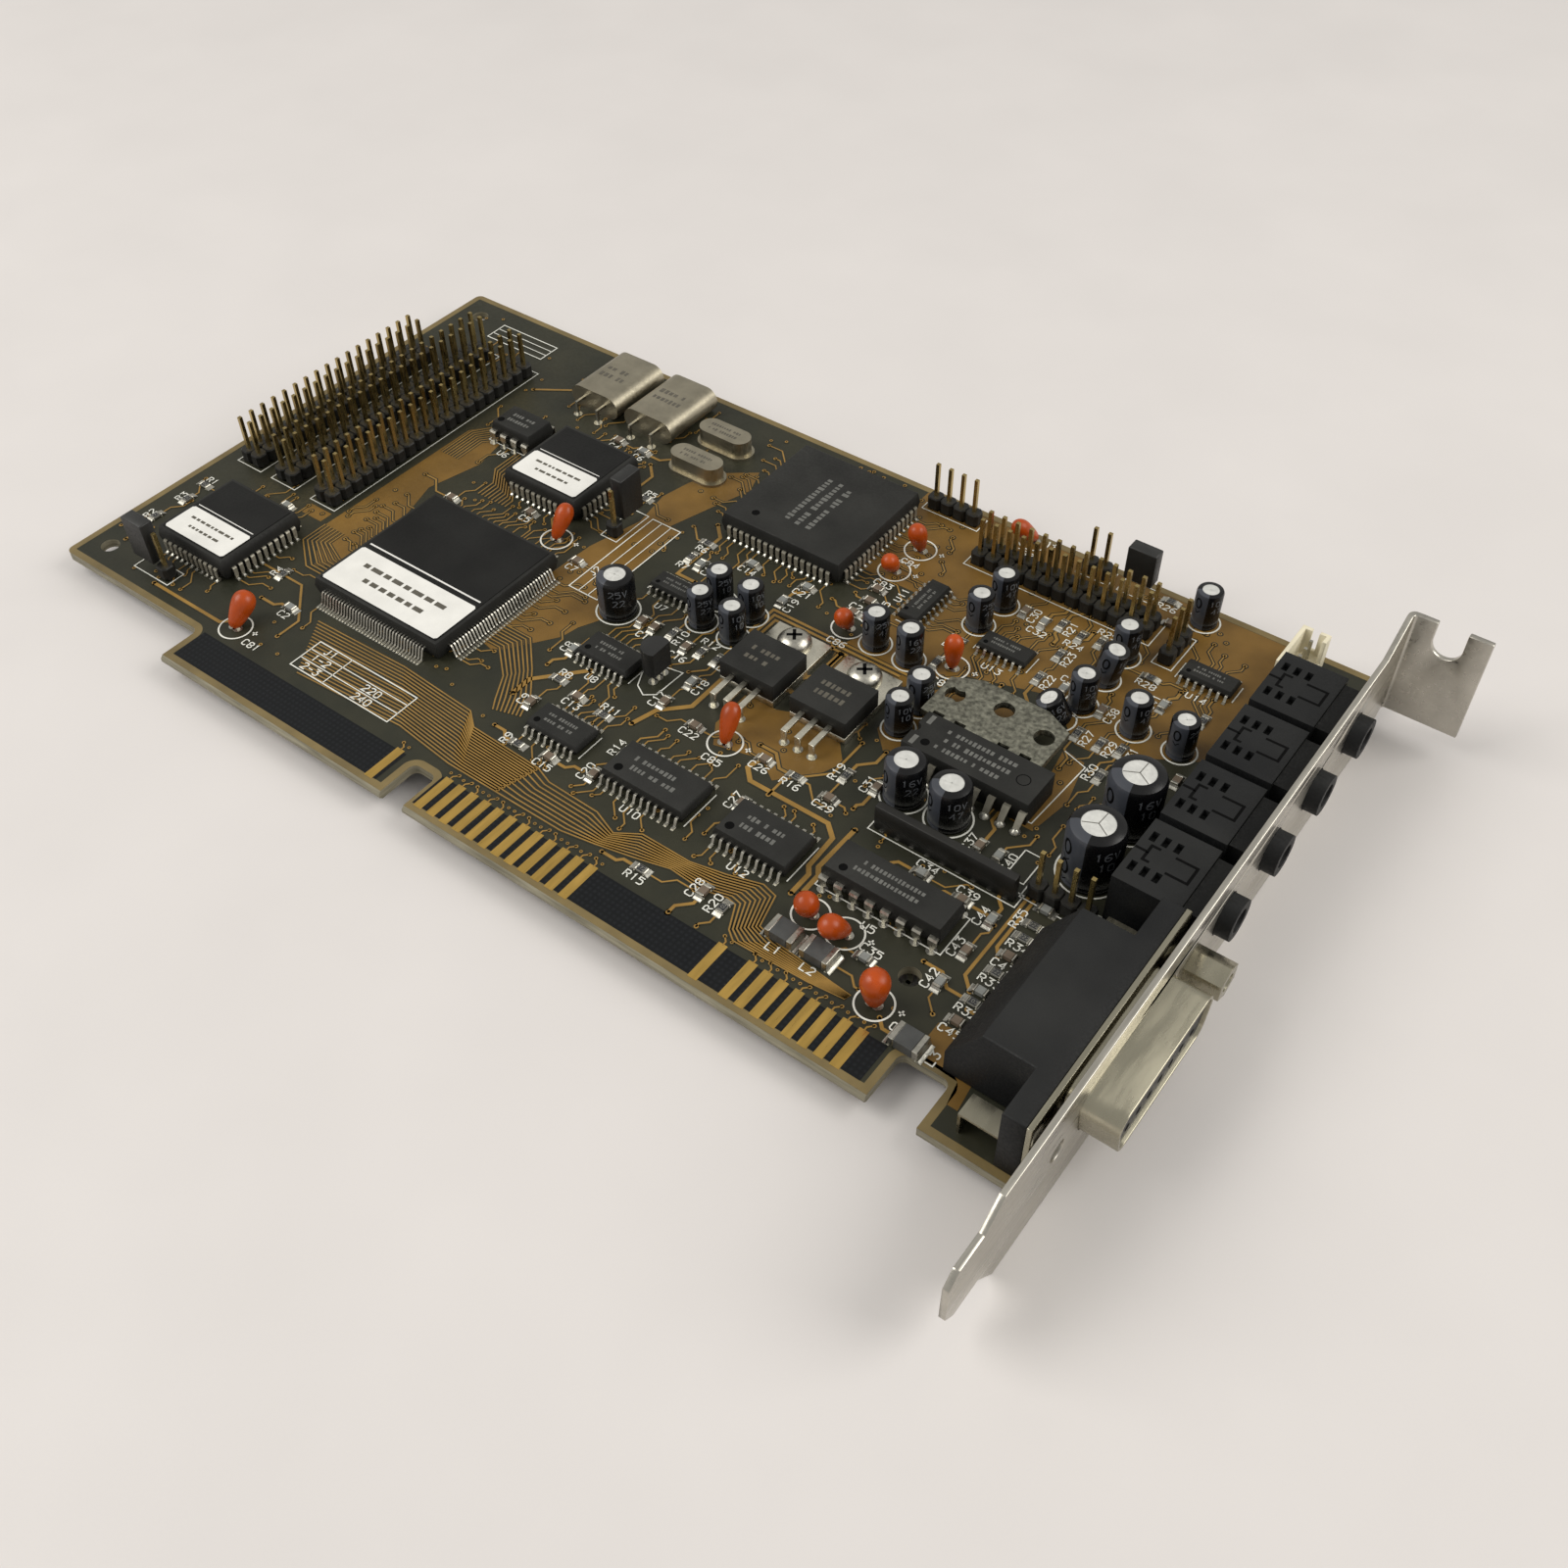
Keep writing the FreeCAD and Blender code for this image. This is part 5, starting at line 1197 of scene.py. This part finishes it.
def board_rim():
    """Pale rim without copper along the board's outline, and bare laminate beside the contacts."""
    piece = Piece("board_rim", "rim", "weave")
    outline = board_outline()
    inner = []
    for i, here in enumerate(outline):
        runs = (here - outline[i - 1], outline[(i + 1) % len(outline)] - here)
        normals = [Vector((-run.y, run.x)).normalized() for run in runs]
        mitre = (normals[0] + normals[1]).normalized()
        inner.append(here + mitre * (1.2 / max(0.5, mitre.dot(normals[0]))))
    for i in range(len(outline)):
        after = (i + 1) % len(outline)
        piece.flat([outline[i], outline[after], inner[after], inner[i]], TOP + POUR)
    for first, last in ((-206, -134), (-122, 2)):
        piece.flat(rectangle(*at(first, 0.4), *at(last, 10.2)), TOP + GAP, "weave")
    piece.make("solder_mask")


def marks():
    """Plain marks on the chips, in rows of letter-size blocks, and each chip's corner dot, a dimple painted
    near-black as shade.
    """
    piece = Piece("chip_marks", "mark", "recess_shade_and_print", "etch")
    rows = {"controller_body": 0, "codec_body": 3, "timer_body": 2, "eeprom_body": 2, "small_outline_bodies": 2,
            "regulator_bodies": 2, "amplifier_body": 3, "crystal_cans": 2}
    for node, count in rows.items():
        faint = node in ("crystal_cans", "regulator_bodies")
        for low, high in spans(node):
            size = high - low
            lying = node == "crystal_cans" and high[2] - TOP > LOW_CRYSTAL
            axis = 0 if lying or size[0] >= size[1] else 1
            long, wide = size[axis], size[1 - axis]
            tall = min(1.3, wide * 0.14)
            middle = (low + high) / 2
            top = high[2] + FILM
            for row in range(count):
                across = middle[1 - axis] - (row - (count - 1) / 2) * tall * 1.7
                reach = -long * rng.uniform(0.26, 0.3)
                while reach < long * 0.24:
                    dash = tall * rng.uniform(0.35, 0.62)
                    ends = (middle[axis] + reach, middle[axis] + reach + dash)
                    piece.line([placed(axis, end, across)[:2] for end in ends], tall * rng.uniform(0.6, 0.95), top,
                               "etch" if faint else "mark")
                    reach += dash + tall * (0.24 if rng.random() < 0.82 else 0.9)
            if not faint:
                # corner dot: the moulded dimple painted near-black as shade
                x, y = placed(axis, 0.14 * long, (0.2 if axis else 0.24) * wide)[:2]
                piece.disc(low[0] + x, low[1] + y, top, min(0.7, wide * 0.1), 20, "recess_shade_and_print")
    low, high = box_of("amplifier_body")
    for share in (0.18, 0.82):
        y = low.y + (high.y - low.y) * share
        piece.line([(low.x + 1.3, y - 0.95), (low.x + 1.3, y + 0.95)], 0.75, high.z + FILM)
    piece.ring(high.x - 3.0, (low.y + high.y) / 2, high.z + FILM, 0.95, 1.1, 24, "recess_shade_and_print")
    piece.make("label_film")


def sticker_bands():
    """Pale bands of the three stickers, with plain dashes in place of words."""
    bands = Piece("label_bands", "paper", "etch")
    for low, high in spans("chip_labels"):
        wide, deep = (high - low)[:2]
        top = high[2] + 0.02
        share = 0.36 if wide > 20 else 0.44
        x0, y0, x1, y1 = low[0] + 0.15, low[1] + 0.15, high[0] - 0.15, low[1] + deep * share
        bands.face(octagon(x0, y0, x1, y1, 0.4, top))
        rule = y1 + deep * 0.045
        bands.line([(x0 + 0.4, rule), (x1 - 0.4, rule)], deep * 0.012, top)
        for row in range(2):
            margin = wide * (0.14 + 0.1 * row)
            x, y, end = x0 + margin, y0 + (y1 - y0) * (0.66 - 0.3 * row), x1 - margin
            while x < end:
                dash = deep * rng.uniform(0.03, 0.09)
                bands.line([(x, y), (min(x + dash, end), y)], deep * 0.035, top + 0.02, "etch")
                x += dash + deep * 0.022
    bands.make("label_film")


def groove_shades():
    """Painted shade: near-black lines for the flap and latch recesses in the jacks' tops, and near-black discs for
    the socket holes of the game port.
    """
    piece = Piece("painted_groove_shades", "recess_shade_and_print")
    for node in JACKS:
        low, high = box_of(node)
        y = (low.y + high.y) / 2
        # flap and latch recesses as near-black lines: painted shade
        for path in ([(5.4, -1.7), (8.6, -1.7), (8.6, 1.4), (5.4, 1.4)],
                     [(0.1, 0.2), (1.9, 0.2), (1.9, 1.5), (3.2, 1.5)], [(1.9, 0.2), (1.9, -1.3), (2.9, -1.3)]):
            piece.line([(low.x + a, y + b) for a, b in path], 0.42, high.z + FILM)
    low, high = box_of("game_port_insulator")
    middle = (low + high) / 2
    # socket holes as near-black discs: painted shade
    for count, rise in zip(PORT_ROWS, (1.42, -1.42)):
        for offset in in_row(count, PORT_PITCH):
            hole = circle(middle.y + offset, middle.z + rise, 0.6)
            piece.face([(high.x + 0.02, y, z) for y, z in hole])
    piece.make("black_plastic")


board_rim()
marks()
sticker_bands()
groove_shades()


# Camera, light and floor

def stage():
    """Camera at the photograph's place, plain pale floor and soft light."""
    scene = bpy.context.scene
    camera = bpy.data.objects.new("camera", bpy.data.cameras.new("camera"))
    right = Vector((0.80137505, 0.59806846, -0.01059024))
    up = Vector((-0.43496604, 0.59479858, 0.67603194))
    back = Vector((0.41061244, -0.53714874, 0.73679621))
    turn = Matrix((right, up, back)).transposed().to_4x4()
    camera.matrix_world = Matrix.Translation((0.123483, -0.133349, 0.176251)) @ turn
    camera.data.sensor_width = 36.0
    camera.data.lens = 36.9116
    camera.data.clip_start = 0.005
    scene.collection.objects.link(camera)
    scene.camera = camera

    mesh = bpy.data.meshes.new("floor")
    mesh.from_pydata([(x, y, 0) for x, y in rectangle(-3, -3, 3, 3)], [], [(0, 1, 2, 3)])
    mesh.materials.append(M["floor"])
    floor = bpy.data.objects.new("floor", mesh)
    scene.collection.objects.link(floor)

    world = bpy.data.worlds.new("studio")
    world.use_nodes = True
    background = world.node_tree.nodes["Background"]
    background.inputs["Color"].default_value = (1.0, 0.985, 0.95, 1.0)
    background.inputs["Strength"].default_value = 0.5
    scene.world = world
    for name, place, power in (("key", (-0.55, -0.4, 0.7), 5.5), ("side", (0.65, 0.35, 0.6), 4.5)):
        data = bpy.data.lights.new(name, "AREA")
        data.energy = power
        data.color = (1.0, 0.975, 0.93)
        data.size = 0.6
        lamp = bpy.data.objects.new(name, data)
        lamp.location = place
        lamp.rotation_euler = Vector(place).to_track_quat("Z", "Y").to_euler()
        scene.collection.objects.link(lamp)
    scene.view_settings.view_transform = "Standard"


stage()
